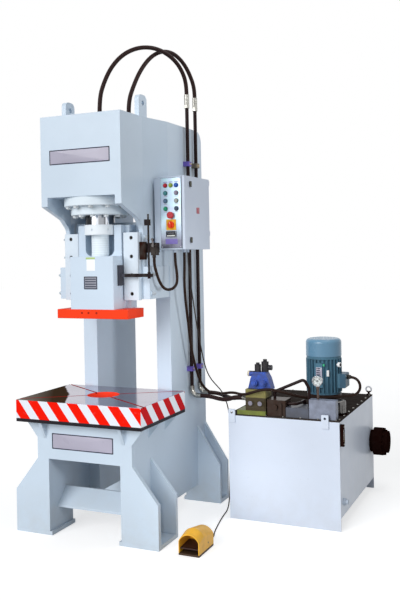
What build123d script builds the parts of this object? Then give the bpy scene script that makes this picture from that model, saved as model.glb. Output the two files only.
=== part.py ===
from build123d import *
import os
from math import cos, pi, radians, sin, tan

# Hydraulic press with a C-shaped frame, its power pack and its foot switch, in millimetres.
# X = 0 is the middle of the press and Z = 0 is the floor. The origin is the centre of the four
# floor anchor holes. +Y points to the back of the press and +X to the power pack.

# Driving dimensions of the frame
press_height = 2612.0
base_depth = 1105.0
frame_half = 335.0
column_inner = 230.0
column_depth = 547.0
column_wall = 25.0
top_corner_radius = 80.0
ram_setback = 245.0
pad_thick = 25.0
anchor_pitch_x = 760.0
anchor_hole_r = 13.0

# Base
front_plate_thick = 30.0
front_leg_depth = 260.0
rear_leg_depth = 155.0
leg_plate = 25.0
waist_half = 337.0
waist_top_z = 607.0
waist_bottom_z = 478.0
flare_half = 423.0
front_foot_half = 506.0
front_knee_z = 267.0
leg_inner = 255.0
pad_lip = 16.0
base_top_z = 714.0
side_bottom_z = 118.0
rear_foot_half = 503.0
rear_foot_inner = 240.0
rear_knee_z = 265.0
rear_knee_top_z = 530.0
chute_thick = 12.0
chute_low = (89.0, 166.0)
chute_high = (185.0, 261.0)
chute_lip = 14.0

# Bed plate and bolster
table_half = 441.0
table_front = 74.0
table_back = 531.0
bed_thick = 21.0
bolster_thick = 115.0
table_hole_r = 102.0
bed_hole_r = 80.0
groove_width = 10.0
groove_depth = 8.0
groove_angle = 33.0
gusset_thick = 20.0
gusset_low_z = 606.0
front_gusset_x = 280.0
front_gusset_reach = 58.0
side_gusset_reach = 92.0
side_gusset_setbacks = (225.0, 450.0)

# Head
head_half = 287.0
head_front = 20.0
head_bend = 300.0
head_wall = 30.0
head_bottom_z = 2050.0
notch_half = 242.0
notch_height = 56.0
head_floor = 30.0
port_hole_r = 21.0

# Guide housing under the head
cheek_wall = 30.0
cheek_front = 288.0
chamfer_end_z = 1950.0
chamfer_start = 215.0
cheek_corner_radius = 60.0
block_half = 331.0
block_front = 280.0
block_top_z = 1665.0
block_bottom_z = 1460.0
housing_back_wall = 25.0

# Gibs
gib_inner = 165.0
gib_outer = 271.0
gib_top_z = 1882.0
gib_screw_x = 223.0
gib_screw_top_z = 1848.0
gib_screw_pitch = 117.5
gib_screw_count = 4
gib_screw_r = 7.0
gib_counterbore_r = 12.0
gib_counterbore_depth = 16.0

# Lifting lugs
lug_thick = 32.0
lug_start = 264.0
lug_length = 103.0
lug_height = 139.0
lug_hole_r = 16.0

# Cylinder and ram
bore_r = 125.0
barrel_r = 165.0
cylinder_cap_thick = 40.0
piston_gap = 6.0
piston_thick = 90.0
stroke = 300.0
flange_r = 224.0
gland_r = 181.0
gland_bottom_z = 1995.0
chrome_r = 94.0
running_gap = 0.06
collar_top_z = 1935.0
collar_bottom_z = 1870.0
collar_r = 99.0
neck_r = 56.0
flange_bolt_pcd = 405.0
gland_bolt_pcd = 318.0
flange_bolt_count = 12
flange_bolt_af = 30.0
flange_bolt_head = 14.0
side_boss_r = 17.0
side_boss_height = 8.0
side_bolt_setback = 307.0

# Slide and platen
slide_half = 157.0
slide_flange_half = 190.0
slide_front = 127.0
slide_flange_front = 285.0
slide_back = 365.0
slide_bottom_z = 1403.0
slide_step_z = 1735.0
slide_top_z = 1932.0
horn_inner = 106.0
horn_floor_radius = 46.0
horn_front = 237.0
pocket_back = 330.0
collar_relief = 3.0
slide_gap = 0.2
platen_half = 256.0
platen_front = 125.0
platen_back = 335.0
platen_thick = 58.0

# Stroke arm, its rod and dogs
dog_bar_thick = 12.0
dog_bar_front = 180.0
dog_bar_width = 55.0
dog_bar_bottom_z = 1549.0
dog_bar_height = 128.0
dog_rod_x = 366.0
dog_rod_r = 6.0
dog_rod_top_z = 1990.0
dog_arm_z = 1602.0
dog_arm_height = 21.0
dog_arm_depth = 16.0
dog_arm_end = 390.0
dog_z = 1920.0
dog_height = 37.0
dog_size = 30.0

# Limit switch
switch_mid_z = 1774.0
switch_height = 78.0
switch_width = 40.0
switch_depth = 40.0
switch_front = 260.0
lever_pivot_r = 6.0
lever_length = 38.0
lever_thick = 5.0
roller_r = 9.0

# Control box
box_height = 467.0
box_bottom_z = 1768.0
box_inner = 353.0
box_body_width = 161.0
box_front = 387.0
box_depth = 388.0
box_sheet = 3.0
door_thick = 18.0
door_gap = 1.0
hinge_r = 7.0
hinge_pin_r = 3.0
panel_inset = 12.0
panel_thick = 2.0
lock_r = 11.0
lock_setback = 84.0
lock_from_edge = 50.0

# Operator's panel
button_pitch_z = 49.5
button_left_x = 400.0
button_right_x = 476.0
button_middle_x = 438.0
lamp_rise = 408.0
first_button_rise = 359.0
bezel_r = 15.0
bezel_height = 4.0
button_r = 11.0
button_height = 6.0
button_gap = 0.3
stop_rise = 218.0
stop_r = 22.0
stop_travel = 5.0
stop_collar_r = 24.0
switch_plate_size = 68.0
switch_plate_rise = 158.0
knob_r = 22.0
counter_rise = 99.0
counter_height = 37.0

# Rigid pipes, hoses and clamps on the right side of the frame
pipe_r = 12.5
pipe_x = 360.0
pipe_front = 821.0
pipe_rear = 955.0
pipe_top_z = 2740.0
pipe_bottom_z = 835.0
clamp_low_z = 952.0
clamp_high_z = 2356.0
clamp_height = 32.0
hose_r = 14.0
ferrule_r = 17.0
ferrule_length = 92.0
elbow_length = 66.0
elbow_bend = 40.0
lid_pipe_r = 10.0
port_adapter_r = 20.0

# Power pack tank
tank_x = 675.0
tank_width = 740.0
tank_start = 700.0
tank_depth = 986.0
tank_height = 677.0
tank_sheet = 5.0
tank_floor_z = 105.0
lid_thick = 8.0
tab_width = 46.0
tab_height = 87.0
tab_rise = 42.0
tab_hole_r = 8.0
neck_tube_r = 22.0
breather_x = 1372.0
breather_inset = 205.0
breather_r = 36.0
breather_height = 62.0
strainer_inset = 925.0
strainer_z = 360.0

# Motor and pump
motor_x = 1226.0
motor_inset = 360.0
motor_r = 118.0
fin_count = 28
fin_height = 16.0
fin_thick = 4.0
bell_height = 90.0
motor_body_height = 270.0
terminal_reach = 158.0
cowl_height = 114.0
cowl_dome = 26.0
shaft_r = 14.0
rotor_r = 62.0
pump_hole_r = 70.0

# Valve block on the tank
manifold_x = 790.0
manifold_width = 140.0
manifold_inset = 15.0
manifold_depth = 120.0
manifold_base_x = 735.0
manifold_base_width = 195.0
manifold_base_thick = 28.0
manifold_height = 165.0
side_block_x = 938.0
side_block_width = 125.0
side_block_height = 105.0
flat_block_width = 150.0
flat_block_height = 62.0
carrier_width = 173.0
carrier_height = 120.0
block_gap = 2.0
gauge_x = 1268.0
gauge_inset = 35.0
gauge_z = 922.0
gauge_r = 33.0
gauge_rest_angle = 40.0

# Foot switch
foot_x = 698.0
foot_width = 131.0
foot_depth = 210.0
foot_cable_x = 37.0
foot_cable_z = 40.0
foot_gland_length = 12.0
guard_base = 12.0
guard_wall = 5.0
hood_mouth = (0.0, 124.0, 80.0)
hood_ridge = (70.0, 142.0, 96.0)
hood_back = (210.0, 116.0, 74.0)
toe_depth = 150.0
pedal_pin_r = 5.0
pedal_pin_z = 44.0
pedal_pin_setback = 18.0
pedal_thick = 7.0
pedal_rise = 10.0

# Values worked out from the driving dimensions
anchor_pitch_y = base_depth - front_leg_depth / 2 - rear_leg_depth / 2
front_y = -anchor_pitch_y / 2 - front_leg_depth / 2
rear_y = front_y + base_depth
ram_y = front_y + ram_setback
column_front_y = rear_y - column_depth
table_top_z = base_top_z + bed_thick + bolster_thick
flange_top_z = head_bottom_z + notch_height
head_floor_top_z = flange_top_z + head_floor
lamp_z = box_bottom_z + lamp_rise
first_button_z = box_bottom_z + first_button_rise
stop_z = box_bottom_z + stop_rise
switch_plate_z = box_bottom_z + switch_plate_rise
counter_z = box_bottom_z + counter_rise
motor_setback = tank_start + motor_inset
manifold_front = tank_start + manifold_inset
gauge_setback = tank_start + gauge_inset
breather_setback = tank_start + breather_inset
strainer_setback = tank_start + strainer_inset


def behind(distance):
    """Y of a plane that lies a distance behind the front face of the base."""
    return front_y + distance


def block(x0, x1, y0, y1, z0, z1):
    """Box between two corners."""
    return Pos((x0 + x1) / 2, (y0 + y1) / 2, (z0 + z1) / 2) * Box(x1 - x0, y1 - y0, z1 - z0)


def rod_z(radius, x, y, z0, z1):
    """Upright cylinder between two heights."""
    return Pos(x, y, (z0 + z1) / 2) * Cylinder(radius, z1 - z0)


def rod_x(radius, x0, x1, y, z):
    """Cylinder along X."""
    return Pos((x0 + x1) / 2, y, z) * Rot(0, 90, 0) * Cylinder(radius, x1 - x0)


def rod_y(radius, x, y0, y1, z):
    """Cylinder along Y."""
    return Pos(x, (y0 + y1) / 2, z) * Rot(90, 0, 0) * Cylinder(radius, y1 - y0)


def hexagon_z(across_flats, x, y, z0, z1):
    """Upright hexagonal prism."""
    outline = RegularPolygon(across_flats / 2, 6, major_radius=False)
    return extrude(Plane((x, y, z0)) * outline, z1 - z0)


def hexagon_x(across_flats, x0, x1, y, z):
    """Hexagonal prism along X."""
    outline = RegularPolygon(across_flats / 2, 6, major_radius=False)
    return extrude(Plane((x0, y, z), x_dir=(0, 1, 0), z_dir=(1, 0, 0)) * outline, x1 - x0)


def plate_xz(outline, y0, y1):
    """Plate with a profile given in X and Z."""
    return extrude(Plane((0, y1, 0), x_dir=(1, 0, 0), z_dir=(0, -1, 0)) * outline, y1 - y0)


def plate_yz(outline, x0, x1):
    """Plate with a profile given in Y and Z."""
    return extrude(Plane((x0, 0, 0), x_dir=(0, 1, 0), z_dir=(1, 0, 0)) * outline, x1 - x0)


def plate_xy(outline, z0, z1):
    """Plate with a profile given in X and Y."""
    return extrude(Plane((0, 0, z0)) * outline, z1 - z0)


def polygon(*points):
    """Flat face inside a closed run of straight edges."""
    return make_face(Polyline(*points, close=True))


def mirrored(shape):
    """The same piece on the other side of the press."""
    return mirror(shape, about=Plane.YZ)


def column_outline(inset):
    """Side view of a column, with its rounded top corner at the back."""
    radius = top_corner_radius - inset
    top = press_height - inset
    front = column_front_y + inset
    back = rear_y - inset
    bottom = side_bottom_z + inset
    edge = Polyline((back, top - radius), (back, bottom), (front, bottom), (front, top), (back - radius, top))
    corner = ThreePointArc(
        (back - radius, top),
        (back - radius + radius * sin(radians(45)), top - radius + radius * cos(radians(45))),
        (back, top - radius),
    )
    return make_face(edge + corner)


def rear_leg():
    """Splayed rear leg: two knee plates, a web below the column and a floor pad."""
    leg_front = rear_y - rear_leg_depth
    knee = polygon(
        (rear_foot_inner, pad_thick),
        (rear_foot_half, pad_thick),
        (rear_foot_half, rear_knee_z),
        (frame_half, rear_knee_top_z),
        (frame_half, side_bottom_z),
        (rear_foot_inner, side_bottom_z),
    )
    front = plate_xz(knee, leg_front, leg_front + leg_plate)
    back = plate_xz(knee, rear_y - leg_plate, rear_y)
    web = block(
        rear_foot_inner, rear_foot_inner + leg_plate, leg_front + leg_plate, rear_y - leg_plate, pad_thick, side_bottom_z
    )
    pad = block(rear_foot_inner - pad_lip, rear_foot_half, leg_front, rear_y, 0, pad_thick)
    hole = rod_z(anchor_hole_r, anchor_pitch_x / 2, rear_y - rear_leg_depth / 2, -1, pad_thick + 1)
    return front + back + web + (pad - hole)


def right_side_frame():
    """Hollow column, base side plate and rear leg, welded into one."""
    column = plate_yz(column_outline(0), column_inner, frame_half)
    hollow = plate_yz(column_outline(column_wall), column_inner + column_wall, frame_half - column_wall)
    side = block(
        frame_half - column_wall, frame_half, front_y + front_plate_thick, column_front_y, side_bottom_z, base_top_z
    )
    return column - hollow + side + rear_leg()


def front_plate():
    """Waisted front plate of the base, with the opening between the legs."""
    right = [
        (leg_inner, pad_thick),
        (front_foot_half, pad_thick),
        (front_foot_half, front_knee_z),
        (waist_half, waist_bottom_z),
        (waist_half, waist_top_z),
        (flare_half, base_top_z),
    ]
    left = [(-x, z) for x, z in reversed(right)]
    opening = [(-leg_inner, waist_bottom_z), (leg_inner, waist_bottom_z)]
    return plate_xz(polygon(*right, *left, *opening), front_y, front_y + front_plate_thick)


def right_front_leg():
    """Back half of a front leg: web, rear knee plate and floor pad."""
    web_front = front_y + front_plate_thick
    plate_front = front_y + front_leg_depth - leg_plate
    side_inner = frame_half - column_wall
    knee = polygon(
        (leg_inner, pad_thick),
        (front_foot_half, pad_thick),
        (front_foot_half, front_knee_z),
        (frame_half, waist_bottom_z),
        (frame_half, side_bottom_z),
        (side_inner, side_bottom_z),
        (side_inner, waist_bottom_z),
        (leg_inner, waist_bottom_z),
    )
    back = plate_xz(knee, plate_front, plate_front + leg_plate)
    web = block(leg_inner, leg_inner + leg_plate, web_front, plate_front, pad_thick, waist_bottom_z)
    pad = block(leg_inner - pad_lip, front_foot_half, front_y, front_y + front_leg_depth, 0, pad_thick)
    hole = rod_z(anchor_hole_r, anchor_pitch_x / 2, front_y + front_leg_depth / 2, -1, pad_thick + 1)
    return back + web + (pad - hole)


def chute_plate():
    """Slanted plate that lets slugs slide out between the front legs."""
    y0, z0 = behind(chute_low[0]), chute_low[1]
    y1, z1 = behind(chute_high[0]), chute_high[1]
    outline = polygon((y0, z0), (y0, z0 - chute_lip), (y0 + chute_thick, z0 - chute_lip), (y1 + chute_thick, z1), (y1, z1))
    return plate_yz(outline, -leg_inner, leg_inner)


def front_legs():
    """Both front legs and the chute between them."""
    return [right_front_leg(), mirrored(right_front_leg()), chute_plate()]


def bed_plate():
    """Thin plate under the bolster."""
    hole = rod_z(bed_hole_r, 0, ram_y, base_top_z - 1, base_top_z + bed_thick + 1)
    plate = block(
        -table_half, table_half, behind(-table_front), behind(table_back), base_top_z, base_top_z + bed_thick
    )
    return plate - hole


def bolster():
    """Thick ground table plate with a centre hole and four marking grooves."""
    bottom = base_top_z + bed_thick
    plate = block(-table_half, table_half, behind(-table_front), behind(table_back), bottom, table_top_z)
    plate = chamfer(plate.edges().group_by(Axis.Z)[-1], 1.5)
    plate -= rod_z(table_hole_r, 0, ram_y, bottom - 1, table_top_z + 1)
    reach = 2 * table_half
    for angle in (groove_angle, -groove_angle, 180 - groove_angle, 180 + groove_angle):
        groove = Pos(reach / 2, 0, 0) * Box(reach, groove_width, 2 * groove_depth)
        plate -= Pos(0, ram_y, table_top_z) * Rot(0, 0, angle) * groove
    return plate


def table_gussets():
    """Triangular ribs that carry the overhanging bed plate at the front and on both sides."""
    front = polygon((front_y, gusset_low_z), (front_y, base_top_z), (front_y - front_gusset_reach, base_top_z))
    front_rib = plate_yz(front, front_gusset_x - gusset_thick / 2, front_gusset_x + gusset_thick / 2)
    solids = [front_rib, mirrored(front_rib)]
    side = polygon((frame_half, gusset_low_z), (frame_half, base_top_z), (frame_half + side_gusset_reach, base_top_z))
    for setback in side_gusset_setbacks:
        rib = plate_xz(side, behind(setback) - gusset_thick / 2, behind(setback) + gusset_thick / 2)
        solids += [rib, mirrored(rib)]
    return solids


def head_outline(inset):
    """Plan of the head: parallel front sides that flare out to the columns."""
    half = head_half - inset
    back_half = frame_half - inset
    y0 = behind(head_front) + inset
    y1 = behind(head_bend)
    y2 = column_front_y - inset
    return polygon((-half, y0), (half, y0), (half, y1), (back_half, y2), (-back_half, y2), (-half, y1))


def head_shell():
    """Welded head box around the cylinder, with the bridge between the column tops."""
    shell = plate_xy(head_outline(0), head_bottom_z, press_height)
    shell -= plate_xy(head_outline(head_wall), head_floor_top_z, press_height - head_wall)
    shell -= plate_xy(head_outline(head_wall), head_bottom_z - 1, flange_top_z)
    notch_back = behind(head_front) + head_wall + 1
    shell -= block(-notch_half, notch_half, behind(head_front) - 1, notch_back, head_bottom_z - 1, flange_top_z)
    inner = column_inner
    bridge = plate_yz(column_outline(0), -inner, inner)
    bridge -= plate_yz(column_outline(column_wall), -inner, inner)
    bridge &= block(-inner, inner, column_front_y, rear_y, flange_top_z, press_height)
    bridge += block(-inner, inner, column_front_y, rear_y, flange_top_z, flange_top_z + column_wall)
    shell += bridge
    shell -= rod_z(barrel_r + slide_gap, 0, ram_y, flange_top_z - 1, head_floor_top_z + 1)
    for x, y in hose_ports():
        shell -= rod_z(port_hole_r, x, y, press_height - head_wall - 1, press_height + 1)
    return shell


def hose_ports():
    """Places on the head where the two upper hoses come out."""
    return [(12.0, ram_y), (168.0, ram_y + 100.0)]


def cheek():
    """Right cheek below the head, with the guide block and the C-shaped slide guide."""
    half, back_half = head_half, frame_half
    y0, y1, y2 = behind(head_front), behind(head_bend), column_front_y
    plan = polygon(
        (half - cheek_wall, y0),
        (half, y0),
        (half, y1),
        (back_half, y2),
        (back_half - cheek_wall, y2),
        (half - cheek_wall, y1),
    )
    wall = plate_xy(plan, block_top_z, head_bottom_z)
    side = polygon(
        (y0, head_bottom_z),
        (behind(chamfer_start), chamfer_end_z + 25),
        (behind(cheek_front), chamfer_end_z - 40),
        (behind(cheek_front), block_top_z),
        (y2, block_top_z),
        (y2, head_bottom_z),
    )
    corners = side.vertices().filter_by(lambda v: v.X < behind(cheek_front) + 1 and block_top_z < v.Y < head_bottom_z)
    side = fillet(corners, cheek_corner_radius)
    wall &= plate_yz(side, half - cheek_wall - 1, back_half + 1)
    guide_in = slide_flange_half + slide_gap
    keeper_front = behind(slide_back) + slide_gap
    keeper_back = keeper_front + housing_back_wall
    lower = block(column_inner, block_half, behind(block_front), y2, block_bottom_z, block_top_z)
    gib_back = behind(slide_flange_front) - slide_gap
    rail = block(guide_in, half - cheek_wall, gib_back, keeper_back, block_bottom_z, gib_top_z)
    lower -= block(guide_in, half, behind(block_front) - 1, gib_back, block_bottom_z - 1, block_top_z + 1)
    bosses = [side_boss(z) for z in gib_levels()]
    return wall + lower + rail + bosses


def side_face(z):
    """X of the outer face of the cheek or of the guide block at the height of a side bolt."""
    return head_half if z > block_top_z else block_half


def side_boss(z):
    """Round pad under a side bolt."""
    x = side_face(z)
    return rod_x(side_boss_r, x - side_boss_height, x + side_boss_height, behind(side_bolt_setback), z)


def guide_housing():
    """Both cheeks and the back plate that joins them behind the slide."""
    keeper_front = behind(slide_back) + slide_gap
    half = head_half - cheek_wall
    back = block(-half, half, keeper_front, keeper_front + housing_back_wall, block_bottom_z, chamfer_end_z)
    return cheek() + mirrored(cheek()) + back


def lifting_lugs():
    """Two lifting lugs welded on the side walls of the head."""
    y0 = behind(lug_start)
    y1 = y0 + lug_length
    z1 = press_height + lug_height
    outline = polygon((y0, press_height), (y1, press_height), (y1, z1), (y0, z1))
    corners = outline.vertices().group_by(Axis.Y)[-1]
    outline = fillet(corners, lug_length / 3)
    lug = plate_yz(outline, head_half - lug_thick, head_half)
    lug -= rod_x(lug_hole_r, head_half - lug_thick - 1, head_half + 1, (y0 + y1) / 2, z1 - lug_length / 2)
    return [lug, mirrored(lug)]


def gib_levels():
    """Heights of the gib screws."""
    return [gib_screw_top_z - i * gib_screw_pitch for i in range(gib_screw_count)]


def gib_blocks():
    """Bolted gib bars that hold the slide in its guides."""
    front = behind(ram_setback)
    back = behind(slide_flange_front) - slide_gap
    bar = block(gib_inner, gib_outer, front, back, block_bottom_z - 5, gib_top_z)
    bar = chamfer(bar.edges().filter_by(Axis.Z).group_by(Axis.Y)[0], 3)
    for z in gib_levels():
        bar -= rod_y(gib_screw_r, gib_screw_x, front - 1, back + 1, z)
        bar -= rod_y(gib_counterbore_r, gib_screw_x, front - 1, front + gib_counterbore_depth, z)
    return [bar, mirrored(bar)]


def frame_bolts():
    """Gib screws, side adjusting bolts and the bolts of the cylinder flanges."""
    solids = []
    front = behind(ram_setback)
    back = behind(slide_flange_front) - slide_gap
    for z in gib_levels():
        head = rod_y(gib_counterbore_r - 2, gib_screw_x, front + 2, front + gib_counterbore_depth, z)
        socket = rod_y(gib_screw_r - 2, gib_screw_x, front + 1, front + 10, z)
        screw = head - socket + rod_y(gib_screw_r - 0.5, gib_screw_x, front + gib_counterbore_depth, back, z)
        solids += [screw, mirrored(screw)]
        seat = side_face(z) + side_boss_height
        bolt = hexagon_x(24, seat, seat + 10, behind(side_bolt_setback), z)
        bolt += rod_x(7, seat + 10, seat + 20, behind(side_bolt_setback), z)
        solids += [bolt, mirrored(bolt)]
    for i in range(flange_bolt_count):
        angle = 2 * pi * (i + 0.5) / flange_bolt_count
        for pcd, top in ((flange_bolt_pcd, head_bottom_z), (gland_bolt_pcd, gland_bottom_z)):
            x = pcd / 2 * cos(angle)
            y = ram_y + pcd / 2 * sin(angle)
            solids.append(hexagon_z(flange_bolt_af, x, y, top - flange_bolt_head, top))
    return solids


def cylinder_barrel():
    """Barrel with its closed end, sitting on the mounting flange."""
    piston_bottom = piston_top_z() - piston_thick
    top = piston_top_z() + piston_gap + cylinder_cap_thick
    barrel = rod_z(barrel_r, 0, ram_y, flange_top_z, top)
    barrel -= rod_z(bore_r, 0, ram_y, flange_top_z - 1, top - cylinder_cap_thick)
    barrel = chamfer(barrel.edges().group_by(Axis.Z)[-1], 6)
    return barrel


def piston_top_z():
    """Height of the piston's top face when the slide is up."""
    return flange_top_z + stroke + piston_thick + 2 * piston_gap


def cylinder_flange():
    """Turned mounting flange with the gland below it."""
    flange = rod_z(flange_r, 0, ram_y, head_bottom_z, flange_top_z)
    flange = chamfer(flange.edges(), 3)
    gland = rod_z(gland_r, 0, ram_y, gland_bottom_z, head_bottom_z)
    gland = chamfer(gland.edges().group_by(Axis.Z)[0], 3)
    return flange + gland - rod_z(chrome_r + running_gap, 0, ram_y, gland_bottom_z - 1, flange_top_z + 1)


def ram():
    """Piston, chromed rod and lower neck in one turned piece."""
    top = piston_top_z()
    piston = rod_z(bore_r - running_gap, 0, ram_y, top - piston_thick, top)
    for z in (top - piston_thick / 3, top - 2 * piston_thick / 3):
        ring = rod_z(bore_r + 1, 0, ram_y, z - 4, z + 4) - rod_z(bore_r - 5, 0, ram_y, z - 5, z + 5)
        piston -= ring
    rod = rod_z(chrome_r, 0, ram_y, collar_top_z, top - piston_thick)
    neck = rod_z(neck_r, 0, ram_y, slide_step_z, collar_top_z)
    return piston + rod + neck


def rod_collar():
    """Retainer ring around the neck, with its clamp screws."""
    collar = rod_z(collar_r, 0, ram_y, collar_bottom_z, collar_top_z)
    collar = chamfer(collar.edges(), 2)
    collar -= rod_z(neck_r + running_gap, 0, ram_y, collar_bottom_z - 1, collar_top_z + 1)
    middle = (collar_bottom_z + collar_top_z) / 2
    for angle in range(-150, 180, 60):
        hole = Pos(collar_r, 0, 0) * Rot(0, 90, 0) * Cylinder(7, 16)
        collar -= Pos(0, ram_y, middle) * Rot(0, 0, angle) * hole
    return collar


def slide_block():
    """Slide: front box, guided flanges and two horns beside the rod."""
    y0 = behind(slide_front)
    y_flange = behind(slide_flange_front)
    y1 = behind(slide_back)
    front = block(-slide_half, slide_half, y0, y_flange, slide_bottom_z, slide_step_z)
    front = chamfer(front.edges().filter_by(Axis.Z).group_by(Axis.Y)[0], 4)
    horns = block(-slide_half, slide_half, behind(horn_front), y_flange, slide_step_z, slide_top_z)
    flanges = block(-slide_flange_half, slide_flange_half, y_flange, y1, slide_bottom_z, slide_top_z)
    body = front + horns + flanges
    pocket = polygon(
        (-horn_inner, slide_step_z),
        (horn_inner, slide_step_z),
        (horn_inner, slide_top_z + 1),
        (-horn_inner, slide_top_z + 1),
    )
    pocket = fillet(pocket.vertices().group_by(Axis.Y)[0], horn_floor_radius)
    relief = rod_z(collar_r + collar_relief, 0, ram_y, collar_bottom_z - collar_relief, slide_top_z + 1)
    return body - plate_xz(pocket, behind(horn_front) - 1, behind(pocket_back)) - relief


def platen():
    """Red pressing plate bolted under the slide."""
    plate = block(
        -platen_half, platen_half, behind(platen_front), behind(platen_back), slide_bottom_z - platen_thick, slide_bottom_z
    )
    return chamfer(plate.edges(), 2)


def stroke_arm():
    """Bar on the slide, arm across the gib and the rod that carries the dog."""
    bar_front = behind(dog_bar_front)
    bar = block(
        slide_half,
        slide_half + dog_bar_thick,
        bar_front,
        bar_front + dog_bar_width,
        dog_bar_bottom_z,
        dog_bar_bottom_z + dog_bar_height,
    )
    rod_y_place = dog_rod_y()
    arm = block(
        slide_half + dog_bar_thick,
        dog_arm_end,
        rod_y_place - dog_arm_depth / 2,
        rod_y_place + dog_arm_depth / 2,
        dog_arm_z,
        dog_arm_z + dog_arm_height,
    )
    rod = rod_z(dog_rod_r, dog_rod_x, rod_y_place, dog_arm_z, dog_rod_top_z)
    dog = block(
        dog_rod_x - dog_size / 2 - 6,
        dog_rod_x + dog_size / 2 - 6,
        rod_y_place - dog_size / 2,
        rod_y_place + dog_size / 2,
        dog_z,
        dog_z + dog_height,
    )
    nut = hexagon_z(19, dog_rod_x, rod_y_place, dog_arm_z + dog_arm_height, dog_arm_z + dog_arm_height + 10)
    lower_nut = hexagon_z(19, dog_rod_x, rod_y_place, dog_arm_z - 10, dog_arm_z)
    return bar + arm + rod + dog + nut + lower_nut


def dog_rod_y():
    """Y of the stroke rod."""
    return behind(dog_bar_front) + dog_bar_width / 2


def switch_x():
    """X of the middle of the limit switch."""
    return dog_rod_x + 6.0


def limit_switch():
    """Switch housing on its bracket, beside the black cover on the cheek."""
    x = switch_x()
    y0 = behind(switch_front)
    z0 = switch_mid_z - switch_height / 2
    body = block(x - switch_width / 2, x + switch_width / 2, y0, y0 + switch_depth, z0, z0 + switch_height)
    body = fillet(body.edges().filter_by(Axis.Z), 4)
    gland = hexagon_z(22, x - 6, y0 + switch_depth / 2, z0 - 16, z0)
    z_foot = z0 + 17
    plate_x = head_half + 6
    bracket = block(plate_x, x + switch_width / 2, y0 + switch_depth, y0 + switch_depth + 6, z_foot, z0 + switch_height)
    cover_x = gib_outer + 2 * slide_gap
    cover = block(cover_x, head_half + 24, behind(cheek_front) - 26, behind(cheek_front), z0 - 26, z0 + 86)
    cover = fillet(cover.edges().filter_by(Axis.Y), 3)
    foot = block(head_half, head_half + 24, behind(cheek_front), y0 + switch_depth, z_foot, z0 + 60)
    bore = rod_y(lever_pivot_r + running_gap, x, y0 - 1, y0 + 14, lever_pivot_z())
    return body + gland + bracket + cover + foot - bore


def lever_pivot_z():
    """Height of the limit switch's lever shaft."""
    return switch_mid_z + switch_height / 2 - 18


def limit_lever():
    """Roller lever of the limit switch."""
    x = switch_x()
    y0 = behind(switch_front)
    z = lever_pivot_z()
    shaft = rod_y(lever_pivot_r, x, y0 - 8, y0 + 12, z)
    hub = rod_y(10, x, y0 - 8, y0 - 2, z)
    tip_z = z + lever_length
    arm = block(x - 6, x + 6, y0 - 8, y0 - 8 + lever_thick, z, tip_z)
    roller = rod_y(roller_r, x, y0 - 16, y0 - 2, tip_z)
    return shaft + hub + arm + roller


def control_box():
    """Sheet steel box, open towards the door, with a gland plate below."""
    x0, x1 = box_inner, box_inner + box_body_width
    y0, y1 = behind(box_front), behind(box_front) + box_depth
    z0, z1 = box_bottom_z, box_bottom_z + box_height
    shell = block(x0, x1, y0, y1, z0, z1)
    shell = fillet(shell.edges().filter_by(Axis.X), 4)
    shell -= block(x0 + box_sheet, x1 + 1, y0 + box_sheet, y1 - box_sheet, z0 + box_sheet, z1 - box_sheet)
    for x, z in control_places():
        shell -= rod_y(button_r + button_gap, x, y0 - 1, y0 + box_sheet + 1, z)
    for x, y, radius in box_glands():
        gland = hexagon_z(2 * radius, x, y, z0 - 18, z0)
        shell += gland
    hinge = rod_z(hinge_r, x1 - hinge_r, y1 + hinge_r, z0 + 40, z0 + 90)
    leaf = block(x1 - 2 * hinge_r, x1, y1, y1 + hinge_r, z0 + 40, z0 + 90)
    for lift in (0, box_height - 130):
        shell += Pos(0, 0, lift) * (hinge + leaf - rod_z(hinge_pin_r + running_gap, x1 - hinge_r, y1 + hinge_r, z0 + 39, z0 + 91))
    return shell


def box_glands():
    """Cable glands under the control box: X, Y and radius of each."""
    y0 = behind(box_front)
    x0 = box_inner
    return [
        (x0 + 82, y0 + 50, 12.0),
        (x0 + 90, y0 + 173, 13.0),
        (x0 + 55, y0 + 303, 9.0),
    ]


def control_places():
    """X and Z of every push button and of the emergency stop."""
    places = []
    for x in (button_left_x, button_right_x):
        for row in range(3):
            places.append((x, first_button_z - row * button_pitch_z))
    places.append((button_middle_x, stop_z))
    places.append((button_middle_x, switch_plate_z))
    return places


def box_bracket():
    """Stand-off frame between the column and the control box."""
    y0 = behind(box_front)
    z0, z1 = box_bottom_z + 10, box_bottom_z + box_height - 10
    web = block(frame_half - 15, box_inner, y0, y0 + 6, z0, z1)
    back = block(box_inner - 6, box_inner, y0 + 6, y0 + box_depth - 6, z0, z1)
    rails = block(frame_half, box_inner - 6, column_front_y + 10, y0 + box_depth - 6, z0 + 20, z0 + 60)
    return web + back + rails + Pos(0, 0, z1 - z0 - 80) * rails


def box_door():
    """Folded door on the right side of the box, with its hinge knuckles."""
    x0 = box_inner + box_body_width + door_gap
    x1 = x0 + door_thick
    y0, y1 = behind(box_front), behind(box_front) + box_depth
    z0, z1 = box_bottom_z, box_bottom_z + box_height
    door = block(x0, x1, y0, y1, z0, z1)
    door = fillet(door.edges().filter_by(Axis.X), 4)
    door -= block(x0 - 1, x1 - box_sheet, y0 + box_sheet, y1 - box_sheet, z0 + box_sheet, z1 - box_sheet)
    for z in lock_levels():
        door -= rod_x(lock_r + running_gap, x0, x1 + 1, y0 + lock_setback, z)
    pin_x = box_inner + box_body_width - hinge_r
    pin_y = y1 + hinge_r
    for low in (z0 + 90.5, z0 + box_height - 40 + 0.5):
        knuckle = rod_z(hinge_r, pin_x, pin_y, low, low + 30)
        leaf = block(pin_x, x1, pin_y - 2, pin_y + 2, low, low + 30)
        arm = block(x1 - 4, x1, y1, pin_y + 2, low, low + 30)
        pin = rod_z(hinge_pin_r, pin_x, pin_y, low - 50, low)
        door += knuckle + leaf + arm + pin
    return door


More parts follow.
